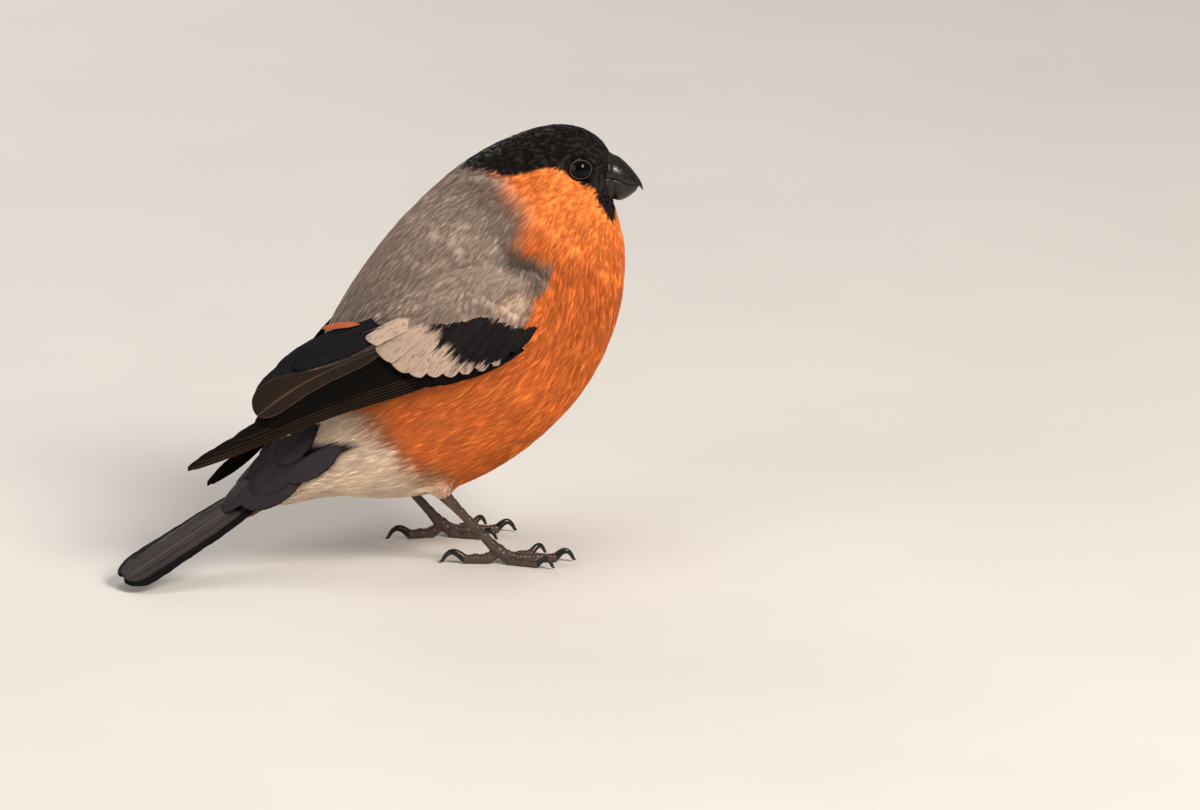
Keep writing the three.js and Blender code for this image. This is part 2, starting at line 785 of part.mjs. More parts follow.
function add(name, shape, finish) {
  const mesh = new THREE.Mesh(geometryOf(shape), finish);
  mesh.name = name;
  bird.add(mesh);
}

const GAP_SPARE = 1.6;
const NEXT_SECTION = 0.1;

// The place after a parting of the flesh, far enough that the joint's gap is open all round
function afterGap(at) {
  const [cut, next] = [section(at), section(at + NEXT_SECTION)];
  const underside = (part) => part.centre.clone().addScaledVector(part.up, -part.below);
  const apart = Math.min(underside(next).distanceTo(underside(cut)), next.centre.distanceTo(cut.centre));
  return at + (NEXT_SECTION * JOINT_GAP * GAP_SPARE) / apart;
}

const wholeBody = bodyLoft(0, LAST_SECTION, ROWS.whole, JOINT_GAP);

add('head', bodyLoft(0, HEAD_END, ROWS.head).subtract(joined([socket(-1), socket(1)])), MATERIALS.cap);
add('neck', bodyLoft(afterGap(HEAD_END), NECK_END, ROWS.neck), MATERIALS.orange);
add('torso', bodyLoft(afterGap(NECK_END), TORSO_END, ROWS.torso), MATERIALS.orange);
add('rump', bodyLoft(afterGap(TORSO_END), LAST_SECTION, ROWS.rump), MATERIALS.white);

add('bill_upper', billUpper().subtract(joined([nostril(-1), nostril(1)])), MATERIALS.horn);
add('bill_lower', billLower(), MATERIALS.horn);

for (const [label, side] of [['right', -1], ['left', 1]]) {
  add(`eye_${label}`, ball(EYE.radius, eyeCentre(side)), MATERIALS.eye);
  add(`eyelid_${label}`, lidRing(side), MATERIALS.lid);

  const sheet = wingSheet(side);
  const vanes = Object.values(TIERS).flatMap((tier) => tierVanes(sheet, side, tier));
  const wing = joined([shoulder(sheet, side), ...vanes]);
  add(`wing_${label}`, wing.subtract(wholeBody), MATERIALS.wing);
}

const tailPieces = [...tailVanes(), ...tailCoverts(TAIL_COVERTS), ...tailCoverts(VENT_COVERTS)];
add('tail', joined(tailPieces).subtract(wholeBody), MATERIALS.tail);

for (const [label, side] of [['right', -1], ['left', 1]]) {
  const sole = foot(side);
  const bone = shank(side);
  add(`foot_${label}`, sole, MATERIALS.leg);
  const shortened = bone.subtract(ball(LEG.joint + JOINT_GAP, legPoint(LEG.foot, side), 8)).subtract(sole);
  add(`shank_${label}`, shortened.subtract(wholeBody), MATERIALS.leg);
  add(`thigh_${label}`, cuff(side).subtract(wholeBody).subtract(shank(side, JOINT_GAP)), MATERIALS.orange);
  for (const toe of TOES) add(`claw_${toe.name}_${label}`, claw(toe, side), MATERIALS.horn);
}

// The origin is under the middle of the bird, at the level it stands on
bird.updateMatrixWorld(true);
const extent = new THREE.Box3().setFromObject(bird, true);
bird.position.set(-(extent.min.x + extent.max.x) / 2, -(extent.min.y + extent.max.y) / 2, -extent.min.z);

export default bird;
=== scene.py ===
"""Looks of a life-size bullfinch that stands with its head turned to the right.

Forms are drawn in millimetres in the bird's own frame, where it faces +X, its left side is +Y
and the floor is at zero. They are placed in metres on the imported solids.
"""

import logging
import math
from dataclasses import dataclass, field, replace
from enum import Enum
from typing import Callable, Optional, Sequence

import bpy
import numpy as np
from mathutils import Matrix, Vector
from mathutils.bvhtree import BVHTree
from mathutils.kdtree import KDTree

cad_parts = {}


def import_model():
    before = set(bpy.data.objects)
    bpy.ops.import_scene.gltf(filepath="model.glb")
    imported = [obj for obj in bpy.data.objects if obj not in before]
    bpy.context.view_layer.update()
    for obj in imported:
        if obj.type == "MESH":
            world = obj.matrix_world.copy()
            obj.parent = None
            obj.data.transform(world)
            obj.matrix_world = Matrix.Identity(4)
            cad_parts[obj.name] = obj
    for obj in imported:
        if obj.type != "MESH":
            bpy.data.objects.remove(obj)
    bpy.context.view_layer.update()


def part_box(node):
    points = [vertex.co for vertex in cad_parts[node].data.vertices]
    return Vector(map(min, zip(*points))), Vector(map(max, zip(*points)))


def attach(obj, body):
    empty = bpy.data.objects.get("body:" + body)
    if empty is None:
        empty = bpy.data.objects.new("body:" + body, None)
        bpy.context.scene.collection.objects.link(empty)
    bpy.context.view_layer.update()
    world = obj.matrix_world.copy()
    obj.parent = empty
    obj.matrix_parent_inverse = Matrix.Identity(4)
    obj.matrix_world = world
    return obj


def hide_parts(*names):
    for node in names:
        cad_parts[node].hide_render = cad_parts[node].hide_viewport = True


LOG = logging.getLogger("bullfinch")
MM = 0.001
BODY = "root"
SIDES = {"right": -1, "left": 1}

Array = np.ndarray
Chance = np.random.Generator
Colour = tuple[float, float, float]
Material = bpy.types.Material
Socket = bpy.types.NodeSocket


def smoothstep(value: Array, low: float, high: float) -> Array:
    """Rises smoothly from 0 at low to 1 at high.

    Args:
        value: the numbers to read.
        low: where the rise starts.
        high: where the rise ends, which may be below low for a fall.

    Returns:
        Numbers from 0 to 1.
    """
    share = np.clip((np.asarray(value, float) - low) / (high - low), 0.0, 1.0)
    return share * share * (3.0 - 2.0 * share)


def lerp(start: Array, end: Array, share: Array) -> Array:
    """Goes from start to end by a share."""
    return start + (end - start) * share


def unit(vectors: Array) -> Array:
    """Vectors of length one, along the last axis."""
    length = np.linalg.norm(vectors, axis=-1, keepdims=True)
    return vectors / np.maximum(length, 1e-9)


def dot(first: Array, second: Array) -> Array:
    """Dot products along the last axis, which is kept."""
    return np.sum(first * second, axis=-1, keepdims=True)


def spun(x: Array, y: Array, angle: Array, middle: float = 0.0) -> tuple[Array, Array]:
    """Turns places in plan by an angle, round a middle that they are measured from."""
    return middle + x * np.cos(angle) - y * np.sin(angle), x * np.sin(angle) + y * np.cos(angle)


def search_tree(points: Array) -> KDTree:
    """A balanced search tree of points."""
    tree = KDTree(len(points))
    for i, place in enumerate(points):
        tree.insert(place, i)
    tree.balance()
    return tree


def smooth_row(values: Sequence, at: Array) -> Array:
    """Reads a row of samples with a smooth curve through them.

    Args:
        values: numbers or points, one for each whole position.
        at: the positions to read.

    Returns:
        One number or point for each position.
    """
    row = np.asarray(values, float)
    at = np.asarray(at, float)
    last = len(row) - 1
    i = np.clip(np.floor(at).astype(int), 0, last - 1)
    before = 2 * row[0] - row[1]
    after = 2 * row[last] - row[last - 1]
    padded = np.concatenate([before[None], row, after[None]])
    p0, p1, p2, p3 = (padded[i + k] for k in range(4))
    t = at - i
    if row.ndim > 1:
        t = t[..., None]
    bend = 2 * p0 - 5 * p1 + 4 * p2 - p3
    twist = 3 * p1 - p0 - 3 * p2 + p3
    return 0.5 * (2 * p1 + (p2 - p0) * t + bend * t**2 + twist * t**3)


def srgb(red: int, green: int, blue: int) -> tuple[float, float, float, float]:
    """A colour for a shader socket, from the 0 to 255 values that a screen shows."""
    linear = [((c / 255 + 0.055) / 1.055) ** 2.4 if c > 10 else c / 255 / 12.92 for c in (red, green, blue)]
    return (*linear, 1.0)


@dataclass
class MeshBin:
    """Collects points, faces and values, and turns them into one mesh object."""

    points: list[Array] = field(default_factory=list)
    faces: list[Array] = field(default_factory=list)
    corners: list[Array] = field(default_factory=list)
    values: dict[str, list[Array]] = field(default_factory=dict)
    count: int = 0

    def add(self, points: Array, faces: Sequence[Array], corners: Optional[Sequence[Array]] = None,
            **values: Array) -> "MeshBin":
        """Adds one batch of geometry.

        Args:
            points: positions in millimetres.
            faces: arrays of point numbers, one row for each face.
            corners: for each array of faces, the unwrap place of each corner.
            values: attributes, one row of four numbers for each point.

        Returns:
            The bin itself.
        """
        self.points.append(points)
        for k, block in enumerate(faces):
            self.faces.append(block + self.count)
            if corners is not None:
                self.corners.append(corners[k])
        for name, rows in values.items():
            self.values.setdefault(name, []).append(rows)
        self.count += len(points)
        return self

    def build(self, name: str, finish: Material) -> bpy.types.Object:
        """Makes the object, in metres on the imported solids.

        Args:
            name: the piece's name.
            finish: its material.

        Returns:
            The new object, linked to the scene.
        """
        mesh = bpy.data.meshes.new(name)
        points = Place.to_metres(np.concatenate(self.points))
        mesh.vertices.add(len(points))
        mesh.vertices.foreach_set("co", points.astype(np.float32).ravel())
        loops = np.concatenate([block.ravel() for block in self.faces])
        sizes = np.concatenate([np.full(len(block), block.shape[1]) for block in self.faces])
        mesh.loops.add(len(loops))
        mesh.loops.foreach_set("vertex_index", loops.astype(np.int32))
        mesh.polygons.add(len(sizes))
        starts = np.concatenate([[0], np.cumsum(sizes)[:-1]])
        mesh.polygons.foreach_set("loop_start", starts.astype(np.int32))
        mesh.update(calc_edges=True)
        if self.corners:
            unwrap = mesh.uv_layers.new(name="OFBake")
            places = np.concatenate([block.reshape(-1, 2) for block in self.corners])
            unwrap.data.foreach_set("uv", np.clip(places, 0.0, 1.0).astype(np.float32).ravel())
        for attribute, rows in self.values.items():
            layer = mesh.attributes.new(attribute, "FLOAT_COLOR", "POINT")
            layer.data.foreach_set("color", np.concatenate(rows).astype(np.float32).ravel())
        mesh.validate()
        mesh.shade_smooth()
        mesh.materials.append(finish)
        piece = bpy.data.objects.new(name, mesh)
        bpy.context.scene.collection.objects.link(piece)
        return piece

    def dress(self, name: str, finish: Material, slot: str, *nodes: str) -> None:
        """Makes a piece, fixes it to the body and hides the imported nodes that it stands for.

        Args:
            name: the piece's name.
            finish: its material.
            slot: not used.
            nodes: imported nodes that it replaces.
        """
        piece = self.build(name, finish)
        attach(piece, BODY)
        if nodes:
            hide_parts(*nodes)
        triangles = len(piece.data.loops) - 2 * len(piece.data.polygons)
        LOG.info("%s: %d triangles", piece.name, triangles)


class Place:
    """Where the bird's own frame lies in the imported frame."""

    shift: Array = np.zeros(3)

    @classmethod
    def find(cls) -> None:
        """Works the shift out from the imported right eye."""
        low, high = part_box("eye_right")
        packed = (np.array(low) + np.array(high)) / 2 / MM
        cls.shift = packed - Eye.centre(SIDES["right"])

    @classmethod
    def to_metres(cls, points: Array) -> Array:
        """Points of the bird's own frame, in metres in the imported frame."""
        return (points + cls.shift) * MM


def grid_faces(rows: int, columns: int, wrap: bool = False) -> Array:
    """Faces of four corners over a grid of points.

    Args:
        rows: rows of points.
        columns: points in a row.
        wrap: whether the last column joins the first.

    Returns:
        One row of four point numbers for each face.
    """
    reach = columns if wrap else columns - 1
    r, c = np.meshgrid(np.arange(rows - 1), np.arange(reach), indexing="ij")
    a = r * columns + c
    b = r * columns + (c + 1) % columns
    return np.stack([a, b, b + columns, a + columns], axis=-1).reshape(-1, 4)


def outward(points: Array, faces: list[Array]) -> list[Array]:
    """Turns the faces of a closed form round where they point inwards.

    Args:
        points: the form's points.
        faces: arrays of faces of three or four corners.

    Returns:
        The same arrays, with their order reversed where needed.
    """
    middle = points.mean(axis=0)
    volume = 0.0
    for block in faces:
        a = points[block[:, 0]] - middle
        for k in range(1, block.shape[1] - 1):
            b = points[block[:, k]] - middle
            c = points[block[:, k + 1]] - middle
            volume += float(np.sum(a * np.cross(b, c)))
    return faces if volume > 0 else [block[:, ::-1] for block in faces]


def ring_form(rings: Array) -> tuple[Array, list[Array]]:
    """A closed form through rings of points, with a fan over each end.

    Args:
        rings: points by ring and by place in the ring.

    Returns:
        The points, and arrays of faces that point outwards.
    """
    count, sides, _ = rings.shape
    ends = np.stack([rings[0].mean(axis=0), rings[-1].mean(axis=0)])
    points = np.concatenate([rings.reshape(-1, 3), ends])
    k = np.arange(sides)
    following = (k + 1) % sides
    first = np.stack([np.full(sides, count * sides), following, k], axis=1)
    base = (count - 1) * sides
    last = np.stack([np.full(sides, count * sides + 1), base + k, base + following], axis=1)
    return points, outward(points, [grid_faces(count, sides, wrap=True), first, last])


class BodyForm:
    """The flesh and coat of the body as one row of oval sections, from the bill to the tail."""

    # top line x, z, bottom line x, z, half width, and how high the widest line lies
    SECTIONS = (
        (31.6, 85.4, 30.6, 75.6, 4.9, 0.5),
        (29.0, 88.8, 32.0, 72.9, 8.2, 0.52),
        (24.5, 91.2, 33.0, 70.6, 10.6, 0.53),
        (18.0, 91.6, 34.0, 67.6, 12.2, 0.52),
        (9.5, 89.0, 34.6, 62.8, 14.2, 0.5),
        (0.5, 84.0, 34.4, 56.2, 17.2, 0.48),
        (-8.0, 77.0, 32.8, 48.9, 20.6, 0.47),
        (-16.2, 69.2, 29.4, 41.2, 23.0, 0.46),
        (-23.8, 60.4, 23.8, 33.4, 24.0, 0.45),
        (-29.8, 51.5, 16.2, 26.4, 23.2, 0.45),
        (-34.0, 43.5, 7.0, 20.0, 20.6, 0.46),
        (-38.5, 36.0, -5.0, 15.2, 16.8, 0.48),
        (-43.5, 28.8, -18.5, 14.1, 12.4, 0.5),
        (-48.5, 22.8, -32.0, 16.2, 8.8, 0.5),
        (-52.5, 18.6, -43.5, 14.9, 6.2, 0.5),
    )
    LAST = len(SECTIONS) - 1
    POWER = 2.25
    HEAD_TURN = math.radians(-25)
    PIVOT_X = 10.0
    TURN_START = 8.0
    TURN_END = 3.5
    CHEST = 5.0

    @classmethod
    def turned(cls, points: Array, at: Array) -> Array:
        """Turns points of the head and neck to the right, less and less down the neck.

        Args:
            points: points of the bird that looks straight ahead.
            at: the section that each point belongs to.

        Returns:
            The points of the bird that looks to its right.
        """
        angle = cls.HEAD_TURN * (1 - smoothstep(at, cls.TURN_END, cls.TURN_START))
        x, y = spun(points[..., 0] - cls.PIVOT_X, points[..., 1], angle, cls.PIVOT_X)
        return np.stack([x, y, points[..., 2]], axis=-1)

    @classmethod
    def head(cls, x: Array, y: Array, z: Array) -> Array:
        """A point of the head, given for the bird that looks straight ahead."""
        x, y, z = np.broadcast_arrays(x, y, z)
        return cls.turned(np.stack([x, y, z], axis=-1).astype(float), np.zeros(x.shape))

    @classmethod
    def section(cls, at: Array) -> dict[str, Array]:
        """The oval at each place along the body.

        Args:
            at: places along the body, in sections.

        Returns:
            Its centre and up direction in x and z, its reach above and below, and its half width.
        """
        row = smooth_row(cls.SECTIONS, at)
        top, bottom, share = row[..., 0:2], row[..., 2:4], row[..., 5]
        depth = np.linalg.norm(top - bottom, axis=-1)
        up = (top - bottom) / depth[..., None]
        centre = bottom + up * (depth * share)[..., None]
        return {"centre": centre, "up": up, "above": depth * (1 - share), "below": depth * share,
                "half": row[..., 4]}

    @classmethod
    def straight(cls, at: Array, angle: Array, grow: Array = 0.0) -> Array:
        """Points of the surface before the head is turned.

        Args:
            at: places along the body, in sections.
            angle: 0 is the left side, and a quarter turn is the back.
            grow: how far outside the surface, in millimetres.

        Returns:
            One point for each place.
        """
        cut = cls.section(at)
        power = 2 / cls.POWER
        cosine, sine = np.cos(angle), np.sin(angle)
        across = np.sign(cosine) * np.abs(cosine) ** power
        along = np.sign(sine) * np.abs(sine) ** power
        height = np.where(along > 0, cut["above"], cut["below"]) + grow
        flat = cut["centre"] + cut["up"] * (along * height)[..., None]
        y = across * (cut["half"] + grow)
        return np.stack([flat[..., 0], y, flat[..., 1]], axis=-1)

    @classmethod
    def surface(cls, at: Array, angle: Array, grow: Array = 0.0) -> Array:
        """Points of the surface with the head turned."""
        return cls.turned(cls.straight(at, angle, grow), at)

    @classmethod
    def cleared(cls, points: Array, clear: float) -> Array:
        """Moves points that are sunk in the trunk out to a little above its surface.

        Args:
            points: points beside the trunk.
            clear: how far above the surface they end.

        Returns:
            The moved points.
        """
        low = np.full(len(points), cls.CHEST)
        high = np.full(len(points), float(cls.LAST))
        for _ in range(24):
            middle = (low + high) / 2
            cut = cls.section(middle)
            away = points[:, [0, 2]] - cut["centre"]
            behind = away[:, 0] * cut["up"][:, 1] - away[:, 1] * cut["up"][:, 0] < 0
            low = np.where(behind, middle, low)
            high = np.where(behind, high, middle)
        cut = cls.section(low)
        away = points[:, [0, 2]] - cut["centre"]
        rise = np.sum(away * cut["up"], axis=1)
        height = np.where(rise > 0, cut["above"], cut["below"])
        reach = (np.abs(points[:, 1] / cut["half"]) ** cls.POWER + np.abs(rise / height) ** cls.POWER)
        reach = reach ** (1 / cls.POWER)
        wanted = 1 + clear / cut["half"]
        soft = 0.06
        excess = np.clip((reach - wanted) / soft, -60, 40)
        out = wanted + soft * np.log1p(np.exp(excess))
        scale = np.where(excess >= 40, 1.0, out / np.maximum(reach, 1e-6))
        flat = cut["centre"] + away * scale[:, None]
        return np.stack([flat[:, 0], points[:, 1] * scale, flat[:, 1]], axis=1)


@dataclass(frozen=True)
class Sheet:
    """A curved sheet that vanes lie on: it gives a point for each place along and across."""

    outward: int
    STEP = 0.01

    def at(self, u: Array, v: Array) -> Array:
        """Points of the sheet."""
        raise NotImplementedError

    def frame(self, u: Array, v: Array) -> dict[str, Array]:
        """Points with the outward direction, the run of the sheet and its width per unit across.

        Args:
            u: places along the sheet.
            v: places across it.

        Returns:
            The points, outward normals, directions along and across, and widths.
        """
        step = self.STEP
        along = (self.at(u + step, v) - self.at(u - step, v)) / (2 * step)
        across = (self.at(u, v + step) - self.at(u, v - step)) / (2 * step)
        normal = unit(np.cross(along, across)) * self.outward
        return {"point": self.at(u, v), "normal": normal, "along": unit(along),
                "width": np.linalg.norm(across, axis=-1), "across": unit(across)}


@dataclass(frozen=True)
class WingSheet(Sheet):
    """The folded wing over the flank, from the bend to the tip."""

    LOWER = ((12, -20, 53), (-5, -24.5, 47), (-22, -23, 41.5), (-38, -17.5, 37), (-53, -12, 31.2),
             (-68.3, -8.8, 26))
    MIDDLE = ((6, -22, 61), (-12, -23, 54.5), (-28, -19, 47.5), (-42, -12.8, 40.5), (-55.5, -9, 33),
              (-68.6, -7.2, 27.6))
    UPPER = ((-3, -19, 68.5), (-18, -15, 62), (-32, -8, 53.2), (-44.5, -4.8, 44.2), (-57, -4.8, 35.2),
             (-68.6, -5.4, 29.2))
    # the left wing hangs lower and further forward, and its tip stands upright beside the tail
    FORWARD = 9.0
    INWARD = 3.0
    DOWN = 6.4
    EDGE = 3.4
    CLEAR = {-1: 1.5, 1: 0.4}
    UPRIGHT = 0.85
    UPRIGHT_RISE = 2.6

    def at(self, u: Array, v: Array) -> Array:
        """Points of the wing's sheet, where v is 0 at the lower edge and 1 at the upper."""
        u, v = np.broadcast_arrays(np.asarray(u, float), np.asarray(v, float))
        shape = u.shape
        u, v = u.ravel(), v.ravel()
        row = u * (len(self.LOWER) - 1)
        low, middle, high = (smooth_row(line, row) for line in (self.LOWER, self.MIDDLE, self.UPPER))
        w = v[:, None]
        point = low * (1 - w) * (1 - 2 * w) + middle * 4 * w * (1 - w) + high * w * (2 * w - 1)
        if self.outward > 0:
            upright = smoothstep(u, 0.5, 0.9)
            point[:, 1] = lerp(point[:, 1], middle[:, 1], self.UPRIGHT * upright)
            point[:, 2] += self.UPRIGHT_RISE * (v - 0.5) * upright
            point[:, 0] += self.FORWARD * u
            point[:, 1] += self.INWARD * smoothstep(u, 0.45, 0.95)
            point[:, 2] -= self.DOWN * u + self.EDGE * v * np.sin(np.pi * u)
        point = BodyForm.cleared(point, self.CLEAR[self.outward])
        point[:, 1] *= -self.outward
        return point.reshape(*shape, 3)


@dataclass(frozen=True)
class RumpSheet(Sheet):
    """The back of the rump, which the coverts of the tail's root lie on."""

    GROW = 0.2

    def at(self, u: Array, v: Array) -> Array:
        """Points at section u of the body, v radians to the right of the middle of the back."""
        u, v = np.broadcast_arrays(np.asarray(u, float), np.asarray(v, float))
        return BodyForm.surface(u, np.pi / 2 + v, self.GROW)


@dataclass(frozen=True)
class TailSheet(Sheet):
    """The closed tail, which slopes to the floor and rolls a little to the right."""

    ROOT = (-46.0, 0.0, 19.6)
    TIP = (-80.0, 0.0, 2.2)
    ROLL = math.radians(14)
    ROOT_HALF = 3.4
    TIP_HALF = 6.2
    DOME = 0.25

    def at(self, u: Array, v: Array) -> Array:
        """Points of the tail's sheet, where v is 0 on the middle line."""
        u, v = np.broadcast_arrays(np.asarray(u, float), np.asarray(v, float))
        root, tip = np.array(self.ROOT), np.array(self.TIP)
        half = lerp(self.ROOT_HALF, self.TIP_HALF, u)
        across = np.array([0.0, math.cos(self.ROLL), math.sin(self.ROLL)])
        normal = np.cross(tip - root, across)
        normal *= np.sign(normal[2]) / np.linalg.norm(normal)
        point = root + (tip - root) * u[..., None] + across * (v * half)[..., None]
        return point - normal * (self.DOME * v * v)[..., None]


class Nodes:
    """Adds and links the nodes of one shader tree."""

    def __init__(self, tree: bpy.types.NodeTree) -> None:
        """Keeps the tree that nodes are added to."""
        self.tree = tree

    def add(self, kind: str, inputs: Optional[dict] = None, **settings: object) -> bpy.types.Node:
        """Adds a node.

        Args:
            kind: the node's type.
            inputs: values or output sockets for its input sockets.
            settings: the node's own properties.

        Returns:
            The new node.
        """
        node = self.tree.nodes.new(kind)
        for name, value in settings.items():
            setattr(node, name, value)
        for name, value in (inputs or {}).items():
            self.feed(node.inputs[name], value)
        return node

    def feed(self, socket: Socket, value: object) -> None:
        """Links an output to the socket, or sets the socket's own value."""
        if isinstance(value, Socket):
            self.tree.links.new(value, socket)
        else:
            socket.default_value = value

    def math(self, operation: str, first: object, second: object = 0.0) -> Socket:
        """One sum on two numbers."""
        node = self.add("ShaderNodeMath", operation=operation)
        self.feed(node.inputs[0], first)
        self.feed(node.inputs[1], second)
        return node.outputs[0]

    def mix(self, share: object, first: object, second: object, blend: str = "MIX") -> Socket:
        """Mixes two colours by a share."""
        node = self.add("ShaderNodeMix", data_type="RGBA", blend_type=blend)
        self.feed(node.inputs[0], share)
        self.feed(node.inputs[6], first)
        self.feed(node.inputs[7], second)
        return node.outputs[2]

    def spread(self, value: object, low: float, high: float, to_low: float = 0.0,
               to_high: float = 1.0) -> Socket:
        """Maps a range of numbers to another one, and stops at its ends."""
        node = self.add("ShaderNodeMapRange", interpolation_type="SMOOTHSTEP")
        for name, number in (("Value", value), ("From Min", low), ("From Max", high),
                             ("To Min", to_low), ("To Max", to_high)):
            self.feed(node.inputs[name], number)
        return node.outputs[0]

    def noise(self, scale: object, detail: float, vector: Optional[Socket] = None) -> Socket:
        """A soft noise over the piece, from 0 to 1."""
        place = vector or self.add("ShaderNodeTexCoord").outputs["Object"]
        node = self.add("ShaderNodeTexNoise", {"Vector": place, "Scale": scale, "Detail": detail})
        return node.outputs["Fac"]

    def channels(self, name: str) -> list[Socket]:
        """The four numbers of a mesh attribute."""
        source = self.add("ShaderNodeAttribute", attribute_name=name)
        parts = self.add("ShaderNodeSeparateColor", {"Color": source.outputs["Color"]})
        return [*parts.outputs, source.outputs["Alpha"]]


class Effects:
    """Node groups that more than one finish uses, each built once."""

    made: dict[str, bpy.types.NodeTree] = {}

    @classmethod
    def group(cls, name: str, inputs: dict[str, object], outputs: Sequence[str],
              fill: Callable[[Nodes, Sequence, Sequence], None]) -> bpy.types.NodeTree:
        """Makes a group, or gives the one that is there.

        Args:
            name: the group's name.
            inputs: names of its inputs with a default number or colour.
            outputs: names of its outputs; one that ends in Colour is a colour.
            fill: adds the nodes between the input and output sockets.

        Returns:
            The group's tree.
        """
        if name in cls.made:
            return cls.made[name]
        tree = bpy.data.node_groups.new(name, "ShaderNodeTree")
        for label, value in inputs.items():
            kind = "NodeSocketFloat" if isinstance(value, float) else "NodeSocketColor"
            socket = tree.interface.new_socket(name=label, in_out="INPUT", socket_type=kind)
            socket.default_value = value
        for label in outputs:
            kind = "NodeSocketColor" if label.endswith("Colour") else "NodeSocketFloat"
            tree.interface.new_socket(name=label, in_out="OUTPUT", socket_type=kind)
        nodes = Nodes(tree)
        start = nodes.add("NodeGroupInput")
        end = nodes.add("NodeGroupOutput")
        fill(nodes, start.outputs, end.inputs)
        cls.made[name] = tree
        return tree

    @classmethod
    def strand_tone(cls) -> bpy.types.NodeTree:
        """Varies a colour from strand to strand and over the body, and paints shade along each strand, darker
        towards its base.
        """

        def fill(nodes: Nodes, given: Sequence, out: Sequence) -> None:
            """Adds the nodes of the group."""
            parts = nodes.add("ShaderNodeSeparateColor", {"Color": given["Strand"]})
            single, along, tuft = parts.outputs
            bright = nodes.spread(single, 0.0, 1.0, 0.78, 1.17)
            # painted shade: each barb darkens towards its base, where the barbs over it would shade it
            depth = nodes.spread(along, 0.0, 0.9, 0.9, 1.02)
            patch = nodes.spread(tuft, 0.0, 1.0, 0.98, 1.02)
            cloud = nodes.spread(nodes.noise(170.0, 3.0), 0.3, 0.7, 0.94, 1.06)
            barb = nodes.math("MULTIPLY", bright, depth)
            gain = nodes.math("MULTIPLY", barb, nodes.math("MULTIPLY", patch, cloud))
            soft = nodes.mix(given["Amount"], (1.0, 1.0, 1.0, 1.0), gain)
            toned = nodes.mix(1.0, given["Colour"], soft, "MULTIPLY")
            hue = nodes.spread(tuft, 0.0, 1.0, 0.497, 0.503)
            varied = nodes.add("ShaderNodeHueSaturation", {"Hue": hue, "Color": toned})
            nodes.feed(out["Colour"], varied.outputs[0])

        inputs = {"Colour": (0.5, 0.5, 0.5, 1.0), "Strand": (0.5, 0.5, 0.5, 1.0), "Amount": 1.0}
        return cls.group("Strand tone", inputs, ["Colour"], fill)

    @classmethod
    def barbs(cls) -> bpy.types.NodeTree:
        """The fine slanting barbs of a vane, as a height and a mask."""

        def fill(nodes: Nodes, given: Sequence, out: Sequence) -> None:
            """Adds the nodes of the group."""
            aside = nodes.math("ABSOLUTE", given["Across"])
            slope = nodes.math("MULTIPLY", aside, given["Slant"])
            row = nodes.math("SUBTRACT", given["Along"], slope)
            wobble = nodes.math("MULTIPLY", nodes.noise(900.0, 2.0), 0.5)
            turns = nodes.math("MULTIPLY", nodes.math("ADD", row, wobble), given["Fineness"])
            wave = nodes.math("SINE", turns)
            broad = nodes.math("SINE", nodes.math("MULTIPLY", turns, 0.23))
            height = nodes.math("ADD", wave, nodes.math("MULTIPLY", broad, 0.6))
            nodes.feed(out["Height"], height)
            nodes.feed(out["Mask"], nodes.spread(height, -1.2, 1.2))

        inputs = {"Along": 0.0, "Across": 0.0, "Slant": 1.6, "Fineness": 16.0}
        return cls.group("Vane barbs", inputs, ["Height", "Mask"], fill)

    @classmethod
    def scuffs(cls) -> bpy.types.NodeTree:
        """Fine scratches and rubbed patches on horn and scales."""

        def fill(nodes: Nodes, given: Sequence, out: Sequence) -> None:
            """Adds the nodes of the group."""
            place = nodes.add("ShaderNodeTexCoord").outputs["Object"]
            stretched = nodes.add("ShaderNodeMapping", {"Vector": place, "Scale": (1.0, 2.5, 4.0)})
            fine = nodes.noise(given["Scale"], 6.0, stretched.outputs[0])
            patch = nodes.noise(nodes.math("MULTIPLY", given["Scale"], 0.2), 2.0)
            rubbed = nodes.math("MULTIPLY", nodes.spread(fine, 0.5, 0.72), nodes.spread(patch, 0.42, 0.62))
            nodes.feed(out["Mask"], rubbed)
            nodes.feed(out["Height"], fine)

        return cls.group("Scuffs", {"Scale": 900.0}, ["Mask", "Height"], fill)


@dataclass(frozen=True)
class Finish:
    """A finish with one Principled shader."""

    name: str
    roughness: float = 0.5
    specular: float = 0.4

    def start(self) -> tuple[Material, Nodes, bpy.types.Node]:
        """A new material with its nodes and shader."""
        material = bpy.data.materials.new(self.name)
        material.use_nodes = True
        nodes = Nodes(material.node_tree)
        shader = material.node_tree.nodes["Principled BSDF"]
        shader.inputs["Roughness"].default_value = self.roughness
        shader.inputs["Specular IOR Level"].default_value = self.specular
        return material, nodes, shader

    def bump(self, nodes: Nodes, shader: bpy.types.Node, height: object, strength: float,
             distance: float) -> None:
        """Raises the surface by a height.

        Args:
            nodes: the material's nodes.
            shader: the shader that takes the new normal.
            height: the socket that gives the height.
            strength: how strongly it shows.
            distance: the height's size in millimetres.
        """
        inputs = {"Height": height, "Strength": strength, "Distance": distance * MM}
        nodes.feed(shader.inputs["Normal"], nodes.add("ShaderNodeBump", inputs).outputs[0])


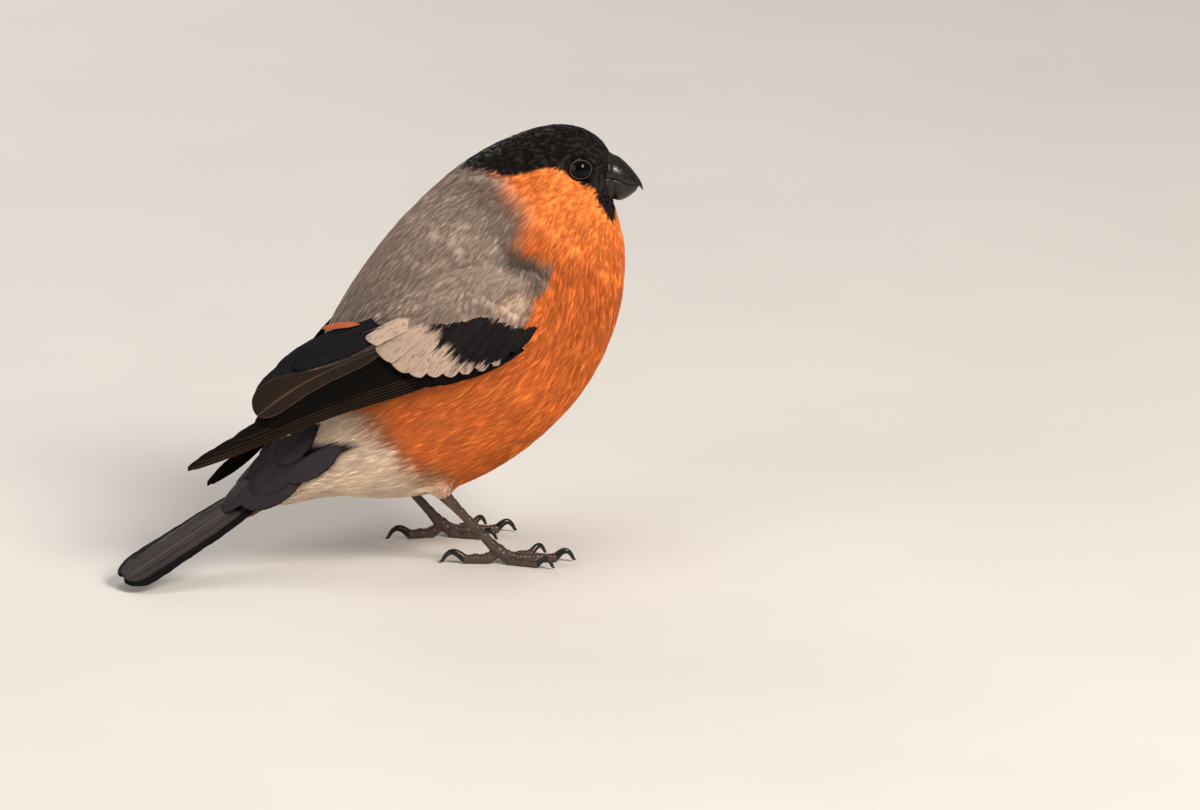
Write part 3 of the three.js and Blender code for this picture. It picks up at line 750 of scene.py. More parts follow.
@dataclass(frozen=True)
class PlumageFinish(Finish):
    """Soft body plumage, coloured by the bird's markings."""

    orange: tuple = srgb(255, 137, 61)
    flush: tuple = srgb(255, 144, 66)
    grey: tuple = srgb(143, 126, 114)
    pale_grey: tuple = srgb(174, 154, 140)
    black: tuple = srgb(25, 20, 18)
    cream: tuple = srgb(255, 230, 203)
    brown: tuple = srgb(160, 112, 76)
    amount: float = 1.0
    sheen: float = 0.04

    def build(self) -> Material:
        """The material of skin and coat.

        Returns:
            The new material.
        """
        material, nodes, shader = self.start()
        shader.inputs["Sheen Weight"].default_value = self.sheen
        shader.inputs["Sheen Roughness"].default_value = 0.5
        black, grey, cream, flush = nodes.channels("markings")
        blotch = nodes.spread(nodes.noise(260.0, 4.0), 0.35, 0.7)
        warm = nodes.mix(blotch, self.orange, nodes.mix(0.12, self.orange, self.brown))
        colour = nodes.mix(flush, warm, self.flush)
        # a brownish band lies between two colours
        edge = nodes.math("MULTIPLY", cream, nodes.math("SUBTRACT", 1.0, cream))
        colour = nodes.mix(nodes.math("MULTIPLY", edge, 2.8), colour, self.brown)
        colour = nodes.mix(nodes.spread(cream, 0.2, 0.95), colour, self.cream)
        colour = nodes.mix(grey, colour, nodes.mix(flush, self.grey, self.pale_grey))
        colour = nodes.mix(black, colour, self.black)
        strand = nodes.add("ShaderNodeAttribute", attribute_name="strand")
        tone = nodes.add("ShaderNodeGroup", node_tree=Effects.strand_tone())
        nodes.feed(tone.inputs["Colour"], colour)
        nodes.feed(tone.inputs["Strand"], strand.outputs["Color"])
        nodes.feed(tone.inputs["Amount"], self.amount)
        nodes.feed(shader.inputs["Base Color"], tone.outputs["Colour"])
        rough = nodes.spread(black, 0.0, 1.0, self.roughness, self.roughness - 0.12)
        nodes.feed(shader.inputs["Roughness"], rough)
        self.bump(nodes, shader, nodes.noise(2600.0, 2.0), 0.15, 0.04)
        return material


@dataclass(frozen=True)
class VaneFinish(Finish):
    """Closed vanes of the wings and tail, with fine barbs."""

    barb_strength: float = 0.05

    def build(self) -> Material:
        """The material of flight feathers, tail feathers and their coverts.

        Returns:
            The new material.
        """
        material, nodes, shader = self.start()
        along, across, _, tone = nodes.channels("vane")
        tint = nodes.add("ShaderNodeAttribute", attribute_name="tint")
        barbs = nodes.add("ShaderNodeGroup", node_tree=Effects.barbs())
        nodes.feed(barbs.inputs["Along"], along)
        nodes.feed(barbs.inputs["Across"], across)
        cloud = nodes.spread(nodes.noise(240.0, 3.0), 0.3, 0.7, 0.92, 1.08)
        fine = nodes.spread(barbs.outputs["Mask"], 0.0, 1.0, 0.98, 1.02)
        single = nodes.spread(tone, 0.0, 1.0, 0.92, 1.08)
        gain = nodes.math("MULTIPLY", nodes.math("MULTIPLY", cloud, fine), single)
        colour = nodes.mix(1.0, tint.outputs["Color"], gain, "MULTIPLY")
        nodes.feed(shader.inputs["Base Color"], colour)
        rough = nodes.spread(nodes.noise(400.0, 3.0), 0.3, 0.7, self.roughness - 0.06, self.roughness + 0.08)
        nodes.feed(shader.inputs["Roughness"], rough)
        self.bump(nodes, shader, barbs.outputs["Height"], self.barb_strength, 0.05)
        return material


@dataclass(frozen=True)
class HornFinish(Finish):
    """Dark horn of the bill and claws, a little rubbed."""

    colour: tuple = srgb(12, 9, 8)
    rubbed: tuple = srgb(60, 50, 43)
    scale: float = 700.0
    coat: float = 0.2

    def build(self) -> Material:
        """The material of horn.

        Returns:
            The new material.
        """
        material, nodes, shader = self.start()
        shader.inputs["Coat Weight"].default_value = self.coat
        shader.inputs["Coat Roughness"].default_value = 0.3
        scuffs = nodes.add("ShaderNodeGroup", {"Scale": self.scale}, node_tree=Effects.scuffs())
        cloud = nodes.spread(nodes.noise(420.0, 3.0), 0.4, 0.75, 0.0, 0.2)
        base = nodes.mix(cloud, self.colour, self.rubbed)
        share = nodes.math("MULTIPLY", scuffs.outputs["Mask"], 0.5)
        nodes.feed(shader.inputs["Base Color"], nodes.mix(share, base, self.rubbed))
        rough = nodes.spread(scuffs.outputs["Height"], 0.3, 0.75, self.roughness - 0.08, self.roughness + 0.2)
        nodes.feed(shader.inputs["Roughness"], rough)
        self.bump(nodes, shader, scuffs.outputs["Height"], 0.3, 0.08)
        return material


@dataclass(frozen=True)
class ScaleFinish(Finish):
    """Bare scaly skin of the shanks and toes, coloured between two browns."""

    upper: tuple = srgb(62, 46, 38)
    groove: tuple = srgb(16, 11, 9)
    pad: tuple = srgb(84, 66, 54)

    def build(self) -> Material:
        """The material of legs and feet.

        Returns:
            The new material.
        """
        material, nodes, shader = self.start()
        raised, pad, _, _ = nodes.channels("scale")
        scuffs = nodes.add("ShaderNodeGroup", {"Scale": 1500.0}, node_tree=Effects.scuffs())
        colour = nodes.mix(nodes.spread(raised, 0.1, 0.6), self.groove, self.upper)
        colour = nodes.mix(nodes.math("MULTIPLY", pad, 0.7), colour, self.pad)
        colour = nodes.mix(nodes.math("MULTIPLY", scuffs.outputs["Mask"], 0.4), colour, self.pad)
        gain = nodes.spread(nodes.noise(600.0, 4.0), 0.3, 0.7, 0.75, 1.2)
        nodes.feed(shader.inputs["Base Color"], nodes.mix(1.0, colour, gain, "MULTIPLY"))
        rough = nodes.spread(raised, 0.0, 1.0, self.roughness + 0.15, self.roughness)
        nodes.feed(shader.inputs["Roughness"], rough)
        cells = nodes.add("ShaderNodeTexVoronoi", {"Scale": 1700.0})
        place = nodes.add("ShaderNodeTexCoord").outputs["Object"]
        nodes.feed(cells.inputs["Vector"], place)
        self.bump(nodes, shader, cells.outputs["Distance"], 0.25, 0.1)
        return material


@dataclass(frozen=True)
class EyeFinish(Finish):
    """A dark wet eye with a faint brown iris round its pupil."""

    pupil: tuple = srgb(3, 3, 4)
    iris: tuple = srgb(13, 8, 6)

    def build(self) -> Material:
        """The material of the eyeballs.

        Returns:
            The new material.
        """
        material, nodes, shader = self.start()
        ring, _, _, _ = nodes.channels("iris")
        fibres = nodes.spread(nodes.noise(2400.0, 3.0), 0.3, 0.7, 0.6, 1.3)
        brown = nodes.mix(1.0, self.iris, fibres, "MULTIPLY")
        nodes.feed(shader.inputs["Base Color"], nodes.mix(ring, self.pupil, brown))
        return material


@dataclass(frozen=True)
class LidFinish(Finish):
    """The black lid with its narrow grey rim."""

    skin: tuple = srgb(14, 12, 11)
    rim: tuple = srgb(84, 78, 72)

    def build(self) -> Material:
        """The material of the lids.

        Returns:
            The new material.
        """
        material, nodes, shader = self.start()
        rim, _, _, _ = nodes.channels("rim")
        beads = nodes.spread(nodes.noise(3000.0, 3.0), 0.3, 0.7, 0.7, 1.2)
        pale = nodes.mix(1.0, self.rim, beads, "MULTIPLY")
        nodes.feed(shader.inputs["Base Color"], nodes.mix(rim, self.skin, pale))
        self.bump(nodes, shader, nodes.noise(3600.0, 3.0), 0.3, 0.06)
        return material


@dataclass(frozen=True)
class FloorFinish(Finish):
    """A plain pale studio floor with a faint unevenness."""

    colour: tuple = srgb(206, 203, 199)

    def build(self) -> Material:
        """The material of the floor.

        Returns:
            The new material.
        """
        material, nodes, shader = self.start()
        gain = nodes.spread(nodes.noise(14.0, 4.0), 0.3, 0.7, 0.985, 1.015)
        nodes.feed(shader.inputs["Base Color"], nodes.mix(1.0, self.colour, gain, "MULTIPLY"))
        return material


class Tract(Enum):
    """The fields of feathers, each with its own sizes and finish slot."""

    CROWN = "crown"
    CHEEK = "cheek"
    NAPE = "nape"
    MANTLE = "mantle"
    SHOULDER = "shoulder"
    BREAST = "breast"
    FLANK = "flank"
    BELLY = "belly"
    RUMP = "rump"
    UPPERTAIL = "uppertail"
    CUFF = "cuff"


@dataclass(frozen=True)
class TuftSize:
    """Sizes of one field's feathers, in millimetres.

    spacing is between roots, length and half_width are of the visible vane, height is how far its
    tip stands from the skin, and barbs is the number of barbs in each.
    """

    slot: str
    spacing: float
    length: float
    half_width: float
    height: float
    barbs: int
    thick: float


TUFTS: dict[Tract, TuftSize] = {
    Tract.CROWN: TuftSize("black_plumage", 0.9, 3.2, 0.7, 0.32, 26, 0.11),
    Tract.CHEEK: TuftSize("orange_plumage", 0.9, 3.8, 0.75, 0.36, 28, 0.1),
    Tract.NAPE: TuftSize("grey_plumage", 1.05, 5.0, 0.95, 0.42, 32, 0.11),
    Tract.MANTLE: TuftSize("grey_plumage", 1.2, 6.6, 1.2, 0.46, 38, 0.115),
    Tract.SHOULDER: TuftSize("grey_plumage", 1.1, 5.4, 1.1, 0.42, 36, 0.115),
    Tract.BREAST: TuftSize("orange_plumage", 1.12, 6.8, 1.05, 0.48, 36, 0.11),
    Tract.FLANK: TuftSize("orange_plumage", 1.2, 8.2, 1.2, 0.52, 38, 0.115),
    Tract.BELLY: TuftSize("white_plumage", 1.2, 7.6, 1.2, 0.52, 36, 0.115),
    Tract.RUMP: TuftSize("white_plumage", 1.2, 6.4, 1.2, 0.5, 34, 0.12),
    Tract.UPPERTAIL: TuftSize("black_plumage", 1.2, 5.6, 1.2, 0.42, 30, 0.12),
    Tract.CUFF: TuftSize("white_plumage", 0.95, 2.6, 0.65, 0.36, 20, 0.11),
}


class Markings:
    """Where each colour of the plumage lies, on the bird that looks straight ahead."""

    CAP = ((-4.0, 86.0), (-2.0, 82.6), (1.5, 83.4), (5.4, 84.0), (7.6, 83.3), (10.7, 83.4), (14.2, 84.0),
           (16.1, 84.9), (19.1, 85.0), (23.4, 83.6), (26.1, 81.7), (28.2, 80.0), (29.3, 76.8), (30.9, 74.0),
           (31.6, 72.8))
    # the grey nape and shoulder end at this x for each height, and the change is this wide
    NAPE = ((0.0, 50.0), (2.4, 54.0), (3.2, 57.0), (6.0, 60.2), (13.0, 62.4), (16.8, 65.1), (15.5, 66.5),
            (11.6, 68.0), (9.8, 69.6), (10.5, 71.3), (12.8, 74.7), (12.0, 77.0), (10.4, 79.7), (7.5, 83.0),
            (4.8, 85.0))
    NAPE_WIDTH = ((50.0, 1.2), (66.0, 1.6), (71.0, 4.4), (80.0, 4.4), (85.0, 3.6))
    # a darker slate patch lies at the front of the shoulder: its middle and reach
    SLATE = (8.6, 64.5)
    SLATE_REACH = (5.5, 6.5)
    SLATE_SHARE = 0.5
    # below this height the cream of the belly starts, for each x
    CREAM = ((-60.0, 66.0), (-29.0, 35.0), (-26.0, 31.5), (-21.0, 26.5), (-17.0, 21.8), (-11.5, 18.2),
             (-6.0, 14.5), (2.0, 8.0))
    UPPERTAIL = ((-60.0, 12.0), (-49.1, 18.1), (-44.4, 21.3), (-38.9, 24.3), (-33.8, 27.6), (-31.0, 29.3))
    UPPERTAIL_TOP = 30.2
    UPPERTAIL_FRONT = -31.0
    RUMP_FRONT = -34.0
    WING_LOW = ((-40.0, 38.0), (-22.0, 43.0), (-5.0, 48.5), (4.0, 51.5))
    # a pale spot behind the bend of the wing
    SPOT = (0.3, 58.5)
    SPOT_REACH = (4.6, 2.9)
    FLUSH_CENTRE = (22.0, 76.0)
    FLUSH_REACH = 16.0
    # sections where the cheek, the nape and the breast end, and the x behind which black is the tail's
    CHEEK_END = 4.4
    NAPE_END = 6.2
    BREAST_END = 8.2
    CROWN_REAR = -10

    @staticmethod
    def oval(x: Array, z: Array, centre: tuple, reach: tuple) -> Array:
        """How far each place lies from an oval's middle, where 1 is its rim."""
        return np.hypot((x - centre[0]) / reach[0], (z - centre[1]) / reach[1])

    @staticmethod
    def wave(points: Array, size: float, seed: float) -> Array:
        """A smooth uneven number for each point, about -1 to 1.

        Args:
            points: points in millimetres.
            size: the width of its waves.
            seed: shifts the waves.

        Returns:
            One number for each point.
        """
        x, y, z = (points[..., k] / size for k in range(3))
        a = np.sin(x * 1.7 + 2.1 * np.sin(y * 1.3 + seed) + seed * 3.1)
        b = np.sin(z * 1.9 + 1.7 * np.sin(x * 1.1 - seed) + seed * 1.3)
        c = np.sin(y * 2.3 + 1.9 * np.sin(z * 1.5 + seed * 2.0))
        return (a + b + c) / 3

    @classmethod
    def read(cls, straight: Array, region: Array) -> Array:
        """The four masks of each point.

        Args:
            straight: points of the bird that looks straight ahead.
            region: the number of the form that each belongs to.

        Returns:
            Black, grey, cream and flush, one row for each point.
        """
        x, z = straight[:, 0], straight[:, 2]
        wing = (region == Region.WING.value).astype(float)
        cuff = (region == Region.CUFF.value).astype(float)
        ripple = cls.wave(straight, 2.2, 0.4)
        black = smoothstep(z - np.interp(x, *zip(*cls.CAP)) + 0.3 * ripple, -0.3, 0.3)
        black *= smoothstep(x + 0.6 * ripple, -2.8, -1.8)
        nape_x = np.interp(z, *zip(*((height, front) for front, height in cls.NAPE)))
        wide = np.interp(z, *zip(*cls.NAPE_WIDTH))
        grey = smoothstep((nape_x - x + 0.9 * ripple) / wide, -1.0, 1.0)
        grey *= smoothstep(z - np.interp(x, *zip(*cls.WING_LOW)), -3.0, 1.0)
        grey = np.maximum(grey, wing * smoothstep(nape_x - x + 0.9 * ripple, -1.0, 1.0))
        cream_line = np.interp(x, *zip(*cls.CREAM))
        cream = smoothstep(cream_line - z + 2.0 * cls.wave(straight, 4.0, 1.7), -6.0, 5.2) * (1 - wing)
        cream = np.maximum(cream, 0.6 * cuff)
        rump = smoothstep(cls.RUMP_FRONT - x + ripple, -1.5, 1.5) * (1 - wing)
        cream = np.maximum(cream, rump)
        spot = cls.oval(x, z, cls.SPOT, cls.SPOT_REACH)
        spot = (1 - smoothstep(spot + 0.2 * ripple, 0.6, 1.15)) * wing
        cream = np.maximum(cream, 0.74 * spot)
        slate = 1 - smoothstep(cls.oval(x, z, cls.SLATE, cls.SLATE_REACH), 0.4, 1.2)
        black = np.maximum(black, cls.SLATE_SHARE * slate * grey)
        grey *= (1 - rump) * (1 - 0.62 * spot)
        line = np.interp(x, *zip(*cls.UPPERTAIL))
        tail = smoothstep(z - line + 0.6 * ripple, -0.5, 0.6)
        tail *= smoothstep(cls.UPPERTAIL_TOP - z + 0.7 * ripple, -0.6, 0.6)
        tail *= smoothstep(cls.UPPERTAIL_FRONT - x + ripple, -0.8, 0.8) * (1 - wing)
        black = np.maximum(black, tail)
        away = np.hypot(x - cls.FLUSH_CENTRE[0], z - cls.FLUSH_CENTRE[1])
        flush = 1 - smoothstep(away, 4.0, cls.FLUSH_REACH)
        # on grey plumage the same mask tells the paler mantle from the nape
        pale = 1 - smoothstep(x + 0.6 * (z - 72) + 1.5 * ripple, -3.0, 8.0)
        flush = lerp(flush, pale, grey)
        return np.stack([black, grey, cream, flush], axis=1)

    @classmethod
    def tract(cls, straight: Array, at: Array, region: Array, masks: Array) -> Array:
        """Which field each point belongs to.

        Args:
            straight: points of the bird that looks straight ahead.
            at: the section that each belongs to.
            region: the number of the form that each belongs to.
            masks: black, grey, cream and flush of each.

        Returns:
            The place of the field in Tract, for each point.
        """
        x = straight[:, 0]
        black, grey, cream = (masks[:, k] > 0.5 for k in range(3))
        rear = (x < cls.RUMP_FRONT) & (straight[:, 2] > np.interp(x, *zip(*cls.UPPERTAIL)))
        fields = list(Tract)
        number = np.full(len(x), fields.index(Tract.CHEEK))
        # where two rules hold, the later one counts
        for holds, tract in (
            (at >= cls.CHEEK_END, Tract.BREAST), (at > cls.BREAST_END, Tract.FLANK), (cream, Tract.BELLY),
            (cream & rear, Tract.RUMP), (grey & (at < cls.NAPE_END), Tract.NAPE),
            (grey & (at >= cls.NAPE_END), Tract.MANTLE), (black & (x > cls.CROWN_REAR), Tract.CROWN),
            (black & (x <= cls.CROWN_REAR), Tract.UPPERTAIL),
            (region == Region.WING.value, Tract.SHOULDER), (region == Region.CUFF.value, Tract.CUFF),
        ):
            number = np.where(holds, fields.index(tract), number)
        return number


class Region(Enum):
    """The forms that the skin is joined from."""

    BODY = 0
    WING = 1
    CUFF = 2


@dataclass
class Guide:
    """Dense samples of the forms, which tell a point of the skin where it lies and how feathers run."""

    point: Array
    straight: Array
    lie: Array
    at: Array
    unwrap: Array
    region: Array
    tree: KDTree = field(init=False)
    NEAREST = 4

    def __post_init__(self) -> None:
        """Builds the search tree."""
        self.tree = search_tree(self.point)

    def read(self, points: Array) -> dict[str, Array]:
        """The samples' values at other points.

        Args:
            points: points on or near the skin.

        Returns:
            Straight points, lie directions, sections, unwrap places and regions.
        """
        found = [self.tree.find_n(place, self.NEAREST) for place in points]
        index = np.array([[hit[1] for hit in hits] for hits in found])
        away = np.array([[hit[2] for hit in hits] for hits in found])
        weight = 1 / (away + 0.15) ** 2
        same = self.region[index] == self.region[index[:, :1]]
        weight *= same
        weight /= weight.sum(axis=1, keepdims=True)
        near = index[:, 0]
        spread = np.abs(self.unwrap[index] - self.unwrap[near][:, None]).max(axis=2) < 0.2
        close = weight * spread
        close /= close.sum(axis=1, keepdims=True)

        def blended(rows: Array, shares: Array) -> Array:
            """The mean of the nearest samples."""
            return np.sum(rows[index] * shares[..., None], axis=1)

        return {
            "straight": blended(self.straight, weight),
            "lie": unit(blended(self.lie, weight)),
            "at": blended(self.at[:, None], weight)[:, 0],
            "unwrap": blended(self.unwrap, close),
            "region": self.region[near],
        }


@dataclass
class Skin:
    """The one skin under the coat: trunk, head, wing shoulders and feathered cuffs."""

    voxel: float = 0.5
    smoothing: int = 7
    head_depth: float = 0.42
    body_depth: float = 0.72
    wing_depth: float = 0.1
    upper_sink: float = 2.2
    lower_sink: float = 1.2
    front_sink: float = 1.6
    rear_sink: float = 1.8
    front_reach: float = 0.2
    rear_reach: tuple = (0.5, 0.8)
    shoulder: tuple = (-0.04, 0.46, 0.02, 1.04)
    shoulder_under: float = 3.0
    # how much feathers run straight back, on the head and on the body
    sweep: tuple = (0.3, 0.75)
    sweep_from: float = 4.6
    sweep_to: float = 9.0
    # the bill lies in a bed pressed into the face: its middle height, reach and slope
    bed_height: float = 80.2
    bed_reach: tuple = (2.2, 3.8)
    bed_start: tuple = (28.6, 29.8)
    cuff_radii: tuple = (4.4, 3.0, 1.35)
    guide: Guide = field(init=False)
    tree: BVHTree = field(init=False)
    points: Array = field(init=False)
    faces: Array = field(init=False)
    normals: Array = field(init=False)

    def depth(self, at: Array) -> Array:
        """How deep the skin lies under the outline at each section."""
        return lerp(self.head_depth, self.body_depth, smoothstep(at, 2.0, 6.5))

    def trunk(self) -> tuple[Array, list[Array]]:
        """Head, neck, trunk and rump as one closed form."""
        at = np.linspace(0.0, BodyForm.LAST, 170)
        angle = np.linspace(0, 2 * np.pi, 120, endpoint=False)
        at, angle = np.meshgrid(at, angle, indexing="ij")
        return ring_form(BodyForm.surface(at, angle, -self.depth(at)))

    def shoulder_sink(self, t: Array, share: Array) -> Array:
        """How deep the wing's flesh lies under its sheet, more at the front and upper rims.

        Args:
            t: places from the front of the shoulder to its end, from 0 to 1.
            share: places from its lower rim to its upper one, from -1 to 1.

        Returns:
            Depths in millimetres.
        """
        rims = self.upper_sink * smoothstep(share, 0.3, 1.0) + self.lower_sink * smoothstep(share, -0.3, -1.0)
        front = self.front_sink * smoothstep(t, self.front_reach, 0.0)
        rear = self.rear_sink * smoothstep(t, *self.rear_reach)
        return self.wing_depth + rims + (front + rear)

    def shoulder_form(self, side: int) -> tuple[Array, list[Array]]:
        """The flesh of one folded wing, under its vanes."""
        sheet = WingSheet(side)
        start, end, low, high = self.shoulder
        rows, columns = 40, 30
        t = np.linspace(0, 1, rows)[:, None]
        taper = np.sqrt(np.maximum(0.02, 1 - (2 * t - 1) ** 4))
        half = (high - low) / 2 * lerp(0.35, 1.0, taper)
        share = np.linspace(-1, 1, columns)[None, :]
        u = np.broadcast_to(lerp(start, end, t), (rows, columns))
        v = (low + high) / 2 + half * share
        frame = sheet.frame(u, v)
        rounding = (np.sqrt(np.maximum(0, 1 - share**4)) * taper)[..., None]
        sink = self.shoulder_sink(t, share)[..., None]
        over = frame["point"] - frame["normal"] * sink
        under = frame["point"] - frame["normal"] * (sink + 0.3 + self.shoulder_under * rounding)
        return ring_form(np.concatenate([over, under[:, ::-1]], axis=1))

    def cuff_form(self, side: int) -> tuple[Array, list[Array]]:
        """The feathered cuff between the belly and one ankle."""
        return ring_form(Leg.tube(Leg.cuff_line(side), np.array(self.cuff_radii), 24))

    def build_mesh(self) -> None:
        """Joins the forms by a fine remesh and smooths the joins."""
        forms = [self.trunk()]
        for side in SIDES.values():
            forms += [self.shoulder_form(side), self.cuff_form(side)]
        mesh = bpy.data.meshes.new("forms")
        points, faces, first = [], [], 0
        for form_points, form_faces in forms:
            points.append(form_points)
            faces += [tuple(row) for block in form_faces for row in (block + first).tolist()]
            first += len(form_points)
        mesh.from_pydata(np.concatenate(points).tolist(), [], faces)
        piece = bpy.data.objects.new("forms", mesh)
        bpy.context.scene.collection.objects.link(piece)
        remesh = piece.modifiers.new("join", "REMESH")
        remesh.mode = "VOXEL"
        remesh.voxel_size = self.voxel
        bpy.context.view_layer.update()
        shaped = bpy.data.meshes.new_from_object(piece.evaluated_get(bpy.context.evaluated_depsgraph_get()))
        count = len(shaped.vertices)
        flat = np.empty(count * 3, np.float32)
        shaped.vertices.foreach_get("co", flat)
        self.points = flat.reshape(-1, 3).astype(float)
        corners = np.empty(len(shaped.loops), np.int32)
        shaped.loops.foreach_get("vertex_index", corners)
        self.faces = corners.reshape(-1, 4)
        bpy.data.objects.remove(piece)
        bpy.data.meshes.remove(mesh)
        bpy.data.meshes.remove(shaped)
        self.relax(self.smoothing)

    def relax(self, rounds: int) -> None:
        """Moves each point towards the mean of its neighbours.

        Args:
            rounds: how many times.
        """
        a = self.faces.ravel()
        b = np.roll(self.faces, -1, axis=1).ravel()
        count = len(self.points)
        weight = np.bincount(a, minlength=count) + np.bincount(b, minlength=count)
        for _ in range(rounds):
            total = np.empty_like(self.points)
            for k in range(3):
                row = self.points[:, k]
                total[:, k] = np.bincount(a, row[b], count) + np.bincount(b, row[a], count)
            self.points += 0.6 * (total / np.maximum(weight, 1)[:, None] - self.points)

    def press_eyes(self) -> None:
        """Presses the sockets into the skin round both eyes."""
        for side in SIDES.values():
            rise, flat = Eye.apart(self.points, side)
            rim = Eye.LID_OUTER + 0.9
            bowl = Eye.SOCKET_RISE - Eye.SOCKET_DEEP * (1 - smoothstep(flat, Eye.LID_OUTER - 0.5, rim))
            sink = np.where((flat < rim) & (rise > bowl), rise - bowl, 0.0)
            self.points -= sink[:, None] * Eye.axis(side)

    def press_bill(self) -> None:
        """Presses a bed for the bill's sides into the face."""
        turn = -BodyForm.HEAD_TURN
        x, y = spun(self.points[:, 0] - BodyForm.PIVOT_X, self.points[:, 1], turn, BodyForm.PIVOT_X)
        share = smoothstep(x, *self.bed_start)
        share *= 1 - smoothstep(np.abs(self.points[:, 2] - self.bed_height), *self.bed_reach)
        room = Bill.flank(x) - 0.35
        excess = np.maximum(0.0, np.abs(y) - room) * share * np.sign(y)
        side = np.array([math.sin(turn), math.cos(turn), 0.0])
        self.points -= excess[:, None] * side

    def build_guide(self) -> None:
        """Samples the forms for the lie of the feathers, the markings and the unwrap."""
        angle = np.linspace(0, 2 * np.pi, 96, endpoint=False)
        at, angle = np.meshgrid(np.linspace(0, BodyForm.LAST, 150), angle, indexing="ij")
        at, angle = at.ravel(), angle.ravel()
        step = 0.04
        depth = -self.depth(at)
        ahead = BodyForm.surface(np.minimum(at + step, BodyForm.LAST), angle, depth)
        behind = BodyForm.surface(np.maximum(at - step, 0), angle, depth)
        lie = unit(ahead - behind)
        still = np.tile([BodyForm.PIVOT_X - 1.0, 0.0, 0.0], (len(at), 1))
        back = BodyForm.turned(still, at) - np.array([BodyForm.PIVOT_X, 0.0, 0.0])
        sweep = lerp(*self.sweep, smoothstep(at, self.sweep_from, self.sweep_to))[:, None] * back
        ring = np.mod(angle + np.pi / 2, 2 * np.pi) / (2 * np.pi)
        unwrap = np.stack([0.01 + 0.98 * at / BodyForm.LAST, 0.01 + 0.76 * ring], axis=1)
        parts = [{
            "point": BodyForm.surface(at, angle, depth), "straight": BodyForm.straight(at, angle, depth),
            "lie": unit(lie + sweep), "at": at, "unwrap": unwrap,
            "region": np.full(len(at), Region.BODY.value),
        }]
        for side in SIDES.values():
            parts += [self.wing_guide(side), self.cuff_guide(side)]
        merged = {key: np.concatenate([part[key] for part in parts]) for key in parts[0]}
        self.guide = Guide(**merged)

    def wing_guide(self, side: int) -> dict[str, Array]:
        """Samples of one wing's shoulder."""
        sheet = WingSheet(side)
        start, end, low, high = self.shoulder
        u, v = np.meshgrid(np.linspace(start, end, 44), np.linspace(low, high, 34), indexing="ij")
        u, v = u.ravel(), v.ravel()
        frame = sheet.frame(u, v)
        column = 0.0 if side < 0 else 0.5
        share = (u - start) / (end - start)
        rise = (v - low) / (high - low)
        point = frame["point"] - frame["normal"] * self.shoulder_sink(share, 2 * rise - 1)[:, None]
        # feathers run down the wing and a little towards its lower edge
        lie = unit(frame["along"] - 0.45 * frame["across"])
        return {
            "point": point, "straight": point, "lie": lie, "at": np.full(len(u), 7.0),
            "unwrap": np.stack([column + 0.01 + 0.47 * share, 0.8 + 0.12 * rise], axis=1),
            "region": np.full(len(u), Region.WING.value),
        }

    def cuff_guide(self, side: int) -> dict[str, Array]:
        """Samples of one cuff."""
        line = Leg.cuff_line(side)
        rings, sides = 12, 24
        share = np.linspace(0.35, 1, rings)
        dense = smooth_row(line, share * (len(line) - 1))
        radii = smooth_row(self.cuff_radii, share * (len(line) - 1))
        point = Leg.tube(dense, radii, sides).reshape(-1, 3)
        lie = np.repeat(unit(np.gradient(dense, axis=0)), sides, axis=0)
        column = 0.0 if side < 0 else 0.5
        turn = np.tile(np.arange(sides) / sides, rings)
        return {
            "point": point, "straight": point, "lie": lie, "at": np.full(len(point), 10.5),
            "unwrap": np.stack([column + 0.01 + 0.47 * turn, 0.94 + 0.05 * np.repeat(share, sides)], axis=1),
            "region": np.full(len(point), Region.CUFF.value),
        }

    def prepare(self) -> None:
        """Makes the skin's shape, its guide and its search tree."""
        self.build_guide()
        self.build_mesh()
        self.press_eyes()
        self.press_bill()
        self.relax(2)
        self.tree = BVHTree.FromPolygons(self.points.tolist(), self.faces.tolist())
        across = np.cross(self.points[self.faces[:, 2]] - self.points[self.faces[:, 0]],
                          self.points[self.faces[:, 3]] - self.points[self.faces[:, 1]])
        normals = np.zeros_like(self.points)
        for k in range(4):
            for axis in range(3):
                normals[:, axis] += np.bincount(self.faces[:, k], across[:, axis], len(self.points))
        self.normals = unit(normals)

    def nearest(self, points: Array) -> tuple[Array, Array]:
        """The skin's nearest points and normals.

        Args:
            points: points near the skin.

        Returns:
            Places on the skin, and outward directions there.
        """
        places, normals = np.empty_like(points), np.empty_like(points)
        for i, point in enumerate(points):
            place, normal, _, _ = self.tree.find_nearest(Vector(point))
            places[i] = place
            normals[i] = normal
        return places, normals

    def build(self, finish: Material) -> None:
        """Makes the piece that replaces the nodes of flesh.

        Args:
            finish: the plumage material.
        """
        facts = self.guide.read(self.points)
        masks = Markings.read(facts["straight"], facts["region"])
        # the skin takes the tone of a barb's low part, which the strand tone darkens as painted shade under
        # the coat
        strand = np.tile([0.5, 0.12, 0.5, 1.0], (len(self.points), 1))
        corner = facts["unwrap"][self.faces]
        low = corner.min(axis=1, keepdims=True)
        torn = (corner.max(axis=1, keepdims=True) - low > 0.2).any(axis=2, keepdims=True)
        corner = np.where(torn, corner[:, :1], corner)
        store = MeshBin().add(self.points, [self.faces], [corner], markings=masks, strand=strand)
        store.dress("skin", finish, "orange_plumage", "head", "neck", "torso", "rump", "thigh_right",
                    "thigh_left")


